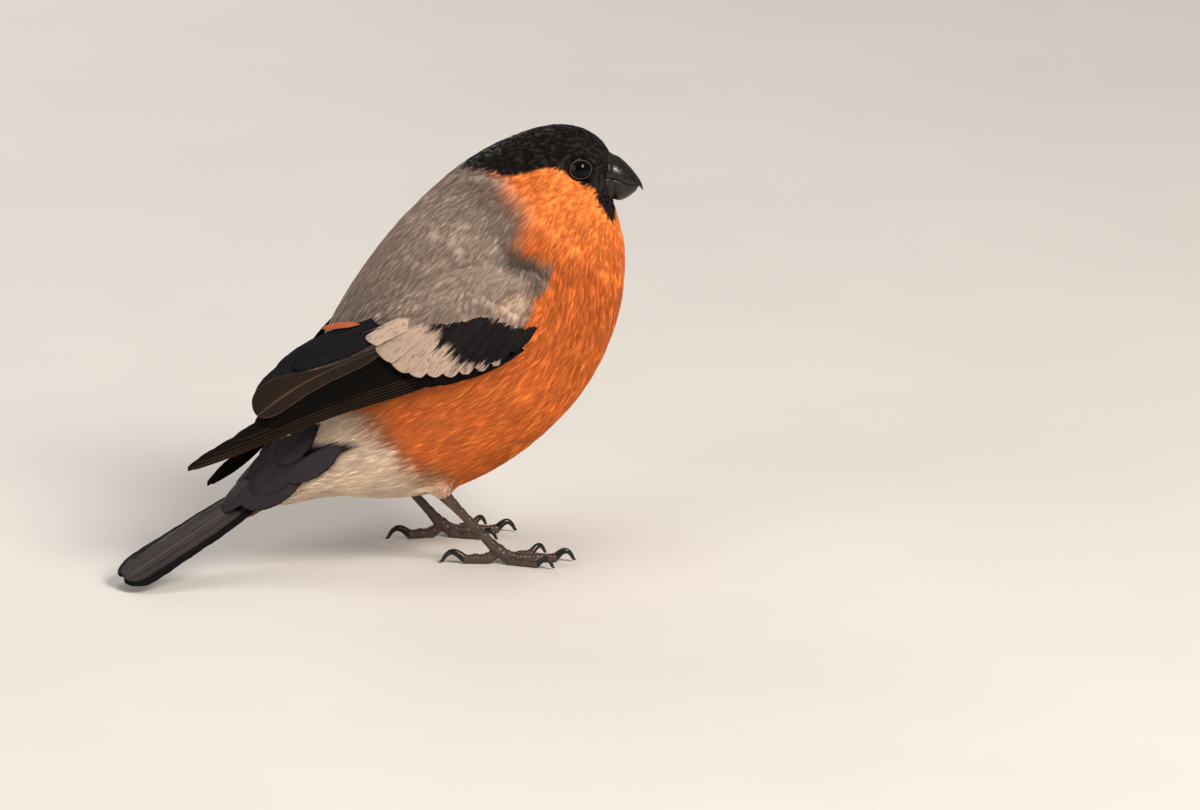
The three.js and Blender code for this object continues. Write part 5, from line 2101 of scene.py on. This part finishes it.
    def feathers(self) -> list[Vane]:
        """All vanes of the wing, from the lowest tier to the highest."""
        vanes = []
        for row in between(self.primaries, self.primary_count):
            vanes.append(self.vane(row, VaneKind.PRIMARY, blunt=0.62, tilt=0.4, bow=-0.015))
        for row in between(self.secondaries, self.secondary_count):
            vanes.append(self.vane(row, VaneKind.SECONDARY, blunt=0.8))
        vanes += self.tertials()
        for row in between(self.primary_coverts, self.covert_count):
            vanes.append(self.vane(row, VaneKind.SECONDARY, blunt=0.65, rows=30))
        by_lift, for_all, for_upper = self.root_sink
        for row in self.greater:
            sink = by_lift * row[6] + for_all + for_upper * float(smoothstep(row[1], 0.6, 0.9))
            vanes.append(self.vane(row, VaneKind.BAR, blunt=0.93, rows=44, sink=sink, pale_from=row[7]))
        if self.side < 0:
            return vanes
        return [replace(vane, lift=vane.lift - self.left_drop,
                        root=(vane.root[0], float(self.lowered(vane.root[1], self.side))),
                        tip=(vane.tip[0], float(self.lowered(vane.tip[1], self.side)))) for vane in vanes]

    @staticmethod
    def vane(row: tuple, kind: VaneKind, **more: object) -> Vane:
        """A vane from one row of a table."""
        return Vane(tuple(row[0:2]), tuple(row[2:4]), row[4], row[5], row[6], kind, **more)

    def build(self, finish: Material) -> None:
        """Makes the wing's vanes as one piece that replaces its node."""
        store = laid(self.feathers(), WingSheet(self.side), np.random.default_rng(self.seed))
        store.dress(f"vanes_{self.label}", finish, "flight_feathers", f"wing_{self.label}")


@dataclass
class Tail:
    """Twelve tail feathers with coverts over and under their roots."""

    pairs: int = 6
    # each runs from the middle pair to the outermost one
    half: tuple = (3.7, 3.4)
    root_spread: tuple = (0.2, 0.6)
    tip_spread: tuple = (0.14, 0.5)
    tips: tuple = (0.985, 1.0, 0.965)
    lift: float = 0.4
    step: float = 0.09
    seed: int = 23
    # rows are root section, angle, tip section, angle, half width and lift, for both sides
    rump_rows: tuple = (
        (11.1, 0.35, 12.6, 0.45, 3.2, 0.3), (11.4, 0.9, 13.0, 1.0, 2.8, 0.4),
        (11.8, 0.15, 13.5, 0.2, 3.4, 0.5), (12.1, 0.6, 13.9, 0.7, 3.4, 0.6),
        (12.6, 1.0, 14.5, 1.15, 3.0, 0.55), (12.8, 0.2, 14.8, 0.25, 3.4, 0.65),
    )
    # rows are the tip's place along and across the sheet, lift and sink of the root
    upper_rows: tuple = ((0.26, 0.25, 0.6, -4.2), (0.1, -0.4, 0.75, -3.6), (0.14, 0.0, 0.9, -4.4))
    # rows are the tip's place along and across the sheet, and lift
    under_rows: tuple = ((0.33, -0.3, -1.2), (0.26, -0.7, -1.2), (0.24, 0.55, -1.1), (0.18, 0.0, -1.5))

    def feathers(self) -> list[Vane]:
        """The vanes, from the outermost pair to the middle one, and then the coverts."""
        vanes = []
        for pair in range(self.pairs - 1, -1, -1):
            out = pair / (self.pairs - 1)
            # the middle pair takes the paler grey that holds painted sheen
            kind = VaneKind.TAIL if pair == 0 else VaneKind.OUTER_TAIL
            tip_u = float(smooth_row(self.tips, out * (len(self.tips) - 1)))
            half = lerp(*self.half, out)
            for side in (1, -1):
                root = (0.02, side * lerp(*self.root_spread, out))
                tip = (tip_u, side * lerp(*self.tip_spread, out))
                lift = self.lift - self.step * pair + (0.04 if side < 0 else 0.0)
                vanes.append(Vane(root, tip, half, half, lift, kind, sink=0.0, tilt=side * 0.12, crown=0.12,
                                  blunt=0.86, root_share=0.7, thick=0.14, floor=0.0))
        return vanes

    def coverts(self) -> list[Vane]:
        """Black coverts above the root and cream ones below."""
        vanes = []
        for reach, spot, lift, sink in self.upper_rows:
            vanes.append(Vane((-0.16, spot * 0.5), (reach, spot), 3.1, 3.1, lift, VaneKind.UPPERTAIL,
                              sink=sink, tilt=spot * 0.4, crown=0.35, blunt=0.6, thick=0.2, rows=34))
        for reach, spot, lift in self.under_rows:
            vanes.append(Vane((-0.1, spot * 0.5), (reach, spot), 2.6, 2.6, lift, VaneKind.VENT, sink=-0.8,
                              tilt=spot * 0.3, crown=-0.2, blunt=0.5, thick=0.25, rows=34))
        return vanes

    def rump_coverts(self) -> list[Vane]:
        """Broad slate coverts that lie over the black plumage at the tail's root."""
        vanes = []
        for row in self.rump_rows:
            for side in (1, -1):
                root, tip = (row[0], side * row[1]), (row[2], side * row[3])
                vanes.append(Vane(root, tip, row[4], row[4], row[5], VaneKind.UPPERTAIL, sink=1.2, tilt=0.0,
                                  crown=0.2, blunt=0.6, thick=0.18, rows=34))
        return vanes

    def build(self, finish: Material) -> None:
        """Makes the tail feathers and their coverts.

        Args:
            finish: the material of vanes.
        """
        rng = np.random.default_rng(self.seed)
        tail = TailSheet(self.outward_sign(TailSheet(1), 0.5, 0.0))
        rump = RumpSheet(self.outward_sign(RumpSheet(1), 12.0, 0.0))
        laid(self.feathers(), tail, rng).dress("tail_feathers", finish, "flight_feathers", "tail")
        laid(self.coverts(), tail, rng).dress("tail_coverts", finish, "flight_feathers")
        laid(self.rump_coverts(), rump, rng).dress("rump_coverts", finish, "flight_feathers")

    @staticmethod
    def outward_sign(sheet: Sheet, u: float, v: float) -> int:
        """1 or -1, whichever makes the sheet's normal point up at a place."""
        normal = sheet.frame(np.array([u]), np.array([v]))["normal"][0]
        return 1 if normal[2] > 0 else -1


class Eye:
    """Eyeball and lid of one side."""

    X, SIDE, Z = 24.6, 7.5, 84.0
    RADIUS = 3.1
    TILT = 0.16
    FORWARD = 0.2
    LID_OUTER = 2.75
    RIM = 2.28
    FEATHER_EDGE = 2.5
    SOCKET_RISE = 1.95
    SOCKET_DEEP = 0.4
    PUPIL = 1.35
    # the opening is wider than high
    TALL_SHARE = 0.87

    @classmethod
    def centre(cls, side: int) -> Array:
        """The middle of the eyeball."""
        return BodyForm.head(cls.X, side * cls.SIDE, cls.Z)

    @classmethod
    def axis(cls, side: int) -> Array:
        """The direction that the eye looks in."""
        axis = unit(np.array([cls.FORWARD, float(side), cls.TILT]))
        x, y = spun(axis[0], axis[1], BodyForm.HEAD_TURN)
        return np.array([x, y, axis[2]])

    @classmethod
    def apart(cls, points: Array, side: int) -> tuple[Array, Array]:
        """How far points lie along the eye's axis and away from it."""
        away = points - cls.centre(side)
        rise = away @ cls.axis(side)
        return rise, np.linalg.norm(away - rise[:, None] * cls.axis(side), axis=1)

    @classmethod
    def basis(cls, side: int) -> tuple[Array, Array, Array]:
        """Across, up and out directions of the eye."""
        out = cls.axis(side)
        across = unit(np.cross(np.array([0.0, 0.0, 1.0]), out))
        return across, np.cross(out, across), out

    @classmethod
    def turned_form(cls, side: int, profile: Array, sides: int, tall: float = 1.0) -> Array:
        """Rings round the eye's axis from pairs of radius and rise."""
        across, up, out = cls.basis(side)
        angle = np.linspace(0, 2 * np.pi, sides, endpoint=False)
        ring = np.cos(angle)[:, None] * across + np.sin(angle)[:, None] * up * tall
        return cls.centre(side) + profile[:, 0, None, None] * ring[None] + profile[:, 1, None, None] * out

    @classmethod
    def build_ball(cls, label: str, finish: Material) -> None:
        """Makes the eyeball with a slightly raised cornea.

        Args:
            label: right or left.
            finish: the wet material.
        """
        angle = np.linspace(math.radians(0.8), math.radians(179.2), 48)
        radius = cls.RADIUS + 0.12 * (1 - smoothstep(angle, 0.0, 0.65))
        profile = np.stack([radius * np.sin(angle), radius * np.cos(angle)], axis=1)
        rings = cls.turned_form(SIDES[label], profile, 64)
        points, faces = ring_form(rings)
        flat = np.append(np.repeat(profile[:, 0] * np.sign(profile[:, 1]), 64), [0.0, -1.0])
        ring = np.where(flat < 0, 0.0, smoothstep(flat, cls.PUPIL - 0.1, cls.PUPIL + 0.15))
        values = np.stack([ring, ring, ring, np.ones_like(ring)], axis=1)
        MeshBin().add(points, faces, iris=values).dress(f"eyeball_{label}", finish, "eye", f"eye_{label}")

    @classmethod
    def build_lid(cls, label: str, finish: Material) -> None:
        """Makes the lid, which lies on the eyeball and ends in a narrow rim.

        Args:
            label: right or left.
            finish: the material of lids.
        """
        ball = cls.RADIUS + 0.1

        def level(radius: float) -> float:
            """How high the eyeball is at a distance from its axis."""
            return math.sqrt(max(0.0, ball**2 - radius**2))

        outer, rim = cls.LID_OUTER, cls.RIM
        profile = np.array([
            (outer + 0.1, 0.9), (outer + 0.02, level(outer) - 0.05),
            (outer - 0.12, level(outer - 0.12) + 0.12), (outer - 0.26, level(outer - 0.26) + 0.16),
            (rim + 0.13, level(rim + 0.13) + 0.15), (rim + 0.07, level(rim + 0.07) + 0.23),
            (rim - 0.01, level(rim) + 0.24), (rim - 0.08, level(rim) + 0.17),
            (rim - 0.12, level(rim - 0.12) + 0.04), (rim - 0.12, level(rim - 0.12) - 0.4), (outer - 0.2, 0.7),
        ])
        rings = cls.turned_form(SIDES[label], profile, 56, cls.TALL_SHARE)
        count, sides, _ = rings.shape
        rim_share = np.exp(-(((profile[:, 0] - rim - 0.01) / 0.07) ** 2))
        values = np.repeat(np.stack([rim_share] * 3 + [np.ones(count)], axis=1), sides, axis=0)
        points = rings.reshape(-1, 3)
        index = np.arange(count * sides).reshape(count, sides)
        closed = np.concatenate([index, index[:1]])
        a, b = closed[:-1], closed[1:]
        faces = np.stack([a, np.roll(a, -1, 1), np.roll(b, -1, 1), b], axis=-1).reshape(-1, 4)
        store = MeshBin().add(points, outward(points, [faces]), rim=values)
        store.dress(f"lid_{label}", finish, "bare_skin", f"eyelid_{label}")


@dataclass
class Bill:
    """The short stout bill in two halves, with a hooked tip."""

    root: float = 30.3
    first: float = 31.95
    tip: float = 38.3
    lower_tip: float = 37.3
    culmen: tuple = (85.3, 84.7, 83.6, 82.2, 80.4, 78.2)
    mouth: tuple = (81.2, 80.7, 80.1, 79.7, 79.3, 77.7)
    gonys: tuple = (75.8, 75.5, 75.9, 76.7, 77.7, 78.3)
    half: tuple = (4.5, 4.3, 3.75, 2.9, 1.75, 0.5)
    blunt: float = 0.7
    tip_rise: float = 0.6
    mouth_gap: float = 0.16
    FLANK_HALF = 4.5
    FLANK_SLOPE = 0.55
    FLANK_X = 31.95
    lip: float = 0.14
    sides: int = 44
    rows: int = 56
    nostril: tuple = (32.9, 3.1, 83.0)
    nostril_radius: float = 0.5
    nostril_depth: float = 0.25

    @classmethod
    def flank(cls, x: Array) -> Array:
        """Half the bill's width behind its first section, where it widens into the cheeks."""
        return cls.FLANK_HALF + cls.FLANK_SLOPE * np.maximum(0.0, cls.FLANK_X - x)

    def ending(self, x: Array, tip: float) -> Array:
        """A share that falls to nothing over the last stretch before a tip."""
        past = np.clip((x - tip + self.blunt) / self.blunt, 0, 1)
        return np.sqrt(1 - 0.98 * past**2)

    def along(self, x: Array) -> tuple[Array, Array]:
        """The place of each x in the tables of the bill, and half its width there."""
        row = np.clip((x - self.first) / (self.tip - self.first), -0.12, 1) * (len(self.culmen) - 1)
        return row, np.maximum(smooth_row(self.half, row), self.flank(x) * (x < self.first))

    def ring(self, x: Array, flat_z: Array, round_z: Array, half: Array) -> Array:
        """Half an oval at each x: flat along the mouth and round away from it.

        Args:
            x: places along the bill.
            flat_z: height of the mouth line.
            round_z: height of the ridge.
            half: half widths.

        Returns:
            Rings of points.
        """
        around = self.sides
        angle = np.linspace(0, np.pi, around)[None, :]
        sine = np.abs(np.sin(angle)) ** 0.85
        bulge = 1 + 0.03 * np.sin(2 * angle) ** 2
        y = half[:, None] * np.cos(angle) * bulge
        z = lerp(flat_z[:, None], round_z[:, None], sine)
        inner = np.linspace(-1, 1, around // 2)[None, 1:-1]
        floor_y = half[:, None] * inner
        hollow = (round_z - flat_z)[:, None] * 0.08 * (1 - inner**2)
        floor_z = flat_z[:, None] + hollow
        y = np.concatenate([y, floor_y], axis=1)
        z = np.concatenate([z, floor_z], axis=1)
        return BodyForm.head(np.broadcast_to(x[:, None], y.shape), y, z)

    def upper(self) -> Array:
        """Rings of the upper half."""
        x = np.linspace(self.root, self.tip, self.rows)
        row, half = self.along(x)
        end = self.ending(x, self.tip)
        low = smooth_row(self.mouth, row) - self.lip
        ridge = smooth_row(self.culmen, row) + self.tip_rise * (row / 5) ** 4
        return self.ring(x, low, low + np.maximum(ridge - low, 0.25) * end, half * end)

    def lower(self) -> Array:
        """Rings of the lower half."""
        x = np.linspace(self.root, self.lower_tip, self.rows)
        row, half = self.along(x)
        end = self.ending(x, self.lower_tip)
        high = smooth_row(self.mouth, row) - self.mouth_gap - self.lip * 0.5
        low = high - np.maximum(high - smooth_row(self.gonys, row), 0.25) * end
        return self.ring(x, high, low, half * 0.95 * end)

    def press_nostrils(self, points: Array) -> Array:
        """Presses both nostrils into the upper half."""
        x, y, z = self.nostril
        moved = points.copy()
        for side in SIDES.values():
            centre = BodyForm.head(x, side * y, z)
            inward = BodyForm.head(x, 0.0, z - 0.6) - centre
            away = np.linalg.norm((moved - centre) * np.array([0.8, 0.8, 1.3]), axis=1)
            share = 1 - smoothstep(away, self.nostril_radius * 0.3, self.nostril_radius * 1.5)
            moved += share[:, None] * unit(inward) * self.nostril_depth
        return moved

    def build(self, finish: Material) -> None:
        """Makes both halves, which replace the bill's nodes.

        Args:
            finish: the material of horn.
        """
        for name, rings in (("upper", self.upper()), ("lower", self.lower())):
            points, faces = ring_form(rings)
            if name == "upper":
                points = self.press_nostrils(points)
            MeshBin().add(points, faces).dress(f"horn_{name}", finish, "horn", f"bill_{name}")


@dataclass(frozen=True)
class Toe:
    """One toe: its direction in degrees, its length, and the length and width of claw and toe."""

    name: str
    angle: float
    length: float
    claw: float
    width: float


class Leg:
    """One bare leg below its cuff: shank, four toes and their claws."""

    ANKLE = (-10.4, 11.0, 15.6)
    FOOT = (1.2, 13.0, 2.6)
    LEFT_BACK = 1.4
    TURN = {-1: 22.0, 1: 10.0}
    SHANK = (1.4, 1.02, 0.94, 1.0, 1.3)
    SCUTES = 7
    TOES = (
        Toe("inner", 34.0, 9.0, 5.0, 1.05),
        Toe("middle", 2.0, 12.4, 5.4, 1.15),
        Toe("outer", -28.0, 9.4, 5.0, 1.05),
        Toe("hind", 178.0, 7.4, 6.6, 1.2),
    )

    @classmethod
    def point(cls, place: tuple, side: int) -> Array:
        """A place of the right leg, mirrored and set back for the left one."""
        x, y, z = place
        return np.array([x - (cls.LEFT_BACK if side > 0 else 0.0), side * y, z])

    @classmethod
    def cuff_line(cls, side: int) -> Array:
        """Three points down the middle of the cuff."""
        ankle, foot = cls.point(cls.ANKLE, side), cls.point(cls.FOOT, side)
        down = unit(foot - ankle)
        top, middle = ankle + np.array([-3.0, 0, 7.0]), ankle + np.array([-0.8, 0, 2.2])
        return np.stack([top, middle, ankle + down * 0.6])

    @staticmethod
    def frames(points: Array) -> tuple[Array, Array]:
        """Across and up directions along a row of points."""
        along = unit(np.gradient(points, axis=0))
        across = np.cross(np.array([0.0, 0.0, 1.0]), along)
        flat = np.linalg.norm(across, axis=1) < 0.15
        across[flat] = (0.0, 1.0, 0.0)
        across = unit(across)
        return across, np.cross(along, across)

    @classmethod
    def tube(cls, points: Array, radii: Array, sides: int) -> Array:
        """Rings round a row of points."""
        across, up = cls.frames(points)
        angle = 2 * np.pi * (np.arange(sides) + 0.5) / sides
        ring = np.cos(angle)[None, :, None] * across[:, None] + np.sin(angle)[None, :, None] * up[:, None]
        return points[:, None] + np.asarray(radii)[:, None, None] * ring

    @classmethod
    def scaled_limb(cls, line: Array, radii: Array, plates: float, pads: float) -> tuple:
        """A limb with plates along its upper side and soft pads along its lower one.

        Args:
            line: points down its middle.
            radii: its radius at each point.
            plates: how many plates it has.
            pads: how many pads it has, or 0.

        Returns:
            Points, faces, and the scale values of the points.
        """
        rows, sides = len(line), 28
        across, up = cls.frames(line)
        t = np.linspace(0, 1, rows)
        angle = 2 * np.pi * (np.arange(sides) + 0.5) / sides
        phase = np.mod(t * plates, 1.0)
        plate = 0.5 + 0.5 * np.cos(np.pi * np.clip(phase * 1.15, 0, 1))
        plate = np.where(phase > 0.87, smoothstep(phase, 0.87, 1.0), lerp(0.55, 1.0, plate))
        bump = 0.5 - 0.5 * np.cos(2 * np.pi * t * max(pads, 1)) if pads else np.zeros(rows)
        on_top = smoothstep(np.sin(angle), -0.35, 0.35)[None, :]
        swell = lerp((0.12 * bump)[:, None], (0.2 * (plate - 0.6))[:, None], on_top)
        radius = radii[:, None] * (1 + swell)
        ring = np.cos(angle)[None, :, None] * across[:, None] + np.sin(angle)[None, :, None] * up[:, None]
        rings = line[:, None] + radius[..., None] * ring
        rings[..., 2] = np.maximum(rings[..., 2], 0.0)
        points, faces = ring_form(rings)
        raised = lerp(0.5, plate[:, None], on_top).ravel()
        pad = ((1 - on_top) * np.ones((rows, 1))).ravel()
        values = np.stack([np.append(raised, [0.5, 0.5]), np.append(pad, [0.0, 0.0]), np.zeros(len(points)),
                           np.ones(len(points))], axis=1)
        return points, faces, values

    @classmethod
    def direction(cls, toe: Toe, side: int) -> Array:
        """The direction of a toe along the floor."""
        angle = math.radians(-toe.angle * side - cls.TURN[side])
        return np.array([math.cos(angle), math.sin(angle), 0.0])

    @classmethod
    def toe_line(cls, toe: Toe, side: int, rows: int) -> tuple[Array, Array]:
        """Points and radii along a toe, from the foot joint down to the floor."""
        start = cls.point(cls.FOOT, side)
        t = np.linspace(0, 1, rows)
        pad = 0.09 * np.cos(t * 3 * np.pi * 2)
        radius = toe.width * lerp(1.05, 0.78, t) * (1 + pad)
        line = start + cls.direction(toe, side) * (toe.length * t)[:, None]
        level = np.maximum(lerp(start[2], toe.width * 0.78, np.minimum(1, t * 3.2)), radius * 0.78)
        line[:, 2] = np.convolve(np.pad(level, 3, mode="edge"), np.ones(7) / 7, mode="valid")
        return line, radius

    @classmethod
    def build_shank(cls, label: str, finish: Material) -> None:
        """Makes the bare shank with its front plates."""
        side = SIDES[label]
        t = np.linspace(0, 1, 90)[:, None]
        line = lerp(cls.point(cls.ANKLE, side), cls.point(cls.FOOT, side), t)
        radii = smooth_row(cls.SHANK, t[:, 0] * (len(cls.SHANK) - 1))
        points, faces, values = cls.scaled_limb(line, radii, cls.SCUTES, 0)
        store = MeshBin().add(points, faces, scale=values)
        store.dress(f"bare_shank_{label}", finish, "scaly_leg", f"shank_{label}")

    @classmethod
    def build_foot(cls, label: str, finish: Material) -> None:
        """Makes the four toes and the joint that they spring from."""
        side = SIDES[label]
        store = MeshBin()
        for toe in cls.TOES:
            line, radii = cls.toe_line(toe, side, 84)
            points, faces, values = cls.scaled_limb(line, radii, round(toe.length * 1.15), 3)
            store.add(points, faces, scale=values)
        centre = cls.point(cls.FOOT, side)
        polar = np.linspace(0.06, np.pi - 0.06, 18)[:, None]
        turn = np.linspace(0, 2 * np.pi, 26, endpoint=False)[None, :]
        knob = np.stack([np.sin(polar) * np.cos(turn), np.sin(polar) * np.sin(turn),
                         np.cos(polar) * np.ones_like(turn)], axis=-1)
        points, faces = ring_form(centre + knob * 1.6)
        store.add(points, faces, scale=np.tile([0.6, 0.0, 0.0, 1.0], (len(points), 1)))
        store.dress(f"toes_{label}", finish, "scaly_leg", f"foot_{label}")

    @classmethod
    def build_claws(cls, label: str, finish: Material) -> None:
        """Makes the four curved claws, each a piece of its own."""
        side = SIDES[label]
        for toe in cls.TOES:
            line, _ = cls.toe_line(toe, side, 84)
            end, forward = line[-1], cls.direction(toe, side)
            t = np.linspace(0, 1, 36)
            reach, rise = toe.claw * 0.72, toe.width * 1.35
            claw = end + forward * (-0.35 + (reach + 0.65) * np.sin(t * 1.45))[:, None]
            claw[:, 2] = end[2] + rise * np.sin(np.pi * np.minimum(1, t * 1.35)) - (end[2] - 0.35) * t * t
            radii = toe.width * 0.72 * (1 - t) ** 0.8 + 0.05
            rings = cls.tube(claw, radii, 22)
            rings[..., 2] = np.maximum(rings[..., 2], 0.02)
            name = f"{toe.name}_{label}"
            MeshBin().add(*ring_form(rings)).dress(f"nail_{name}", finish, "horn", f"claw_{name}")


@dataclass
class Studio:
    """Floor, lights and the camera at the photograph's place."""

    yaw: float = math.radians(25)
    elevation: float = math.radians(14)
    # the picture is 1200 pixels wide, and 4.7 of them show one millimetre
    picture_width: float = 1200.0
    pixels_per_mm: float = 4.7
    middle_right: float = 28.19
    middle_up: float = 30.79
    lens: float = 500.0
    sensor: float = 36.0
    floor_size: float = 14.0

    def axes(self) -> tuple[Array, Array, Array]:
        """Right, up and back directions of the camera."""
        cos_y, sin_y = math.cos(self.yaw), math.sin(self.yaw)
        cos_e, sin_e = math.cos(self.elevation), math.sin(self.elevation)
        right = np.array([cos_y, -sin_y, 0.0])
        up = np.array([sin_y * sin_e, cos_y * sin_e, cos_e])
        back = np.array([-sin_y * cos_e, -cos_y * cos_e, sin_e])
        return right, up, back

    def build_camera(self) -> None:
        """Sets the camera so that the picture shows the bird where the photograph has it."""
        right, up, back = self.axes()
        target = Place.to_metres(right * self.middle_right + up * self.middle_up)
        width = self.picture_width / self.pixels_per_mm * MM
        distance = width * self.lens / self.sensor
        data = bpy.data.cameras.new("camera")
        data.lens = self.lens
        data.sensor_width = self.sensor
        data.clip_end = 60.0
        camera = bpy.data.objects.new("camera", data)
        bpy.context.scene.collection.objects.link(camera)
        camera.location = Vector(target + back * distance)
        camera.rotation_euler = Vector(back).to_track_quat("Z", "Y").to_euler()
        bpy.context.scene.camera = camera

    def build_floor(self, finish: Material) -> None:
        """Lays the floor at the level that the bird stands on."""
        half = self.floor_size / 2 / MM
        steps = np.linspace(-half, half, 9)
        x, y = np.meshgrid(steps, steps, indexing="ij")
        points = np.stack([x, y, np.full_like(x, -0.02)], axis=-1).reshape(-1, 3)
        floor = MeshBin().add(points, [grid_faces(9, 9)[:, ::-1]]).build("floor", finish)

    def light(self, name: str, direction: Array, distance: float, size: float, power: float,
              colour: Colour) -> None:
        """Hangs one soft round light that points at the bird.

        Args:
            name: its name.
            direction: where it hangs, seen from the bird.
            distance: how far away, in metres.
            size: its width in metres.
            power: its watts.
            colour: its colour.
        """
        data = bpy.data.lights.new(name, "AREA")
        data.shape = "DISK"
        data.size = size
        data.energy = power
        data.color = colour
        lamp = bpy.data.objects.new(name, data)
        bpy.context.scene.collection.objects.link(lamp)
        aim = Place.to_metres(np.array([-10.0, 0.0, 50.0]))
        away = unit(direction)
        lamp.location = Vector(aim + away * distance)
        lamp.rotation_euler = Vector(away).to_track_quat("Z", "Y").to_euler()

    def build_lights(self) -> None:
        """Soft key from the right, a wide fill from the left, a light from above and one from behind."""
        right, up, back = self.axes()
        self.light("key", 0.72 * right + 0.62 * up + 0.9 * back, 1.4, 0.6, 24.0, (1.0, 0.93, 0.85))
        self.light("fill", -0.9 * right + 0.2 * up + 0.8 * back, 1.1, 0.8, 4.4, (1.0, 0.97, 0.94))
        self.light("top", np.array([0.0, 0.1, 1.0]), 0.9, 0.6, 2.7, (1.0, 0.98, 0.95))
        self.light("rim", -0.5 * right + 0.7 * up - 1.0 * back, 1.0, 0.5, 2.5, (1.0, 0.97, 0.93))
        world = bpy.data.worlds.new("studio")
        bpy.context.scene.world = world
        world.use_nodes = True
        background = world.node_tree.nodes["Background"]
        background.inputs["Color"].default_value = srgb(228, 222, 214)
        background.inputs["Strength"].default_value = 0.27

    @staticmethod
    def set_view() -> None:
        """Shows colours as they are, with no film curve over them."""
        bpy.context.scene.view_settings.view_transform = "Standard"


def main() -> None:
    """Builds the bird in order."""
    logging.basicConfig(level=logging.INFO, format="%(message)s")
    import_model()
    Place.find()
    studio = Studio()
    studio.build_camera()
    studio.build_floor(FloorFinish("studio floor", roughness=0.7).build())
    studio.build_lights()
    studio.set_view()

    plumage = PlumageFinish("body plumage", roughness=0.7, specular=0.15).build()
    black = PlumageFinish("black plumage", roughness=0.7, specular=0.08, sheen=0.0).build()
    vanes = VaneFinish("closed vanes", roughness=0.6, specular=0.05).build()
    horn = HornFinish("horn", roughness=0.33, specular=0.3).build()
    scales = ScaleFinish("scaly skin", roughness=0.42).build()
    wet = EyeFinish("wet eye", roughness=0.04, specular=0.12).build()
    lids = LidFinish("lids", roughness=0.6, specular=0.2).build()

    skin = Skin()
    skin.prepare()
    skin.build(plumage)
    Coat(skin).build(plumage, black)
    for label, side in SIDES.items():
        Wing(side, label).build(vanes)
    Tail().build(vanes)
    Bill().build(horn)
    for label in SIDES:
        Eye.build_ball(label, wet)
        Eye.build_lid(label, lids)
        Leg.build_shank(label, scales)
        Leg.build_foot(label, scales)
        Leg.build_claws(label, horn)


if __name__ == "__main__":
    main()
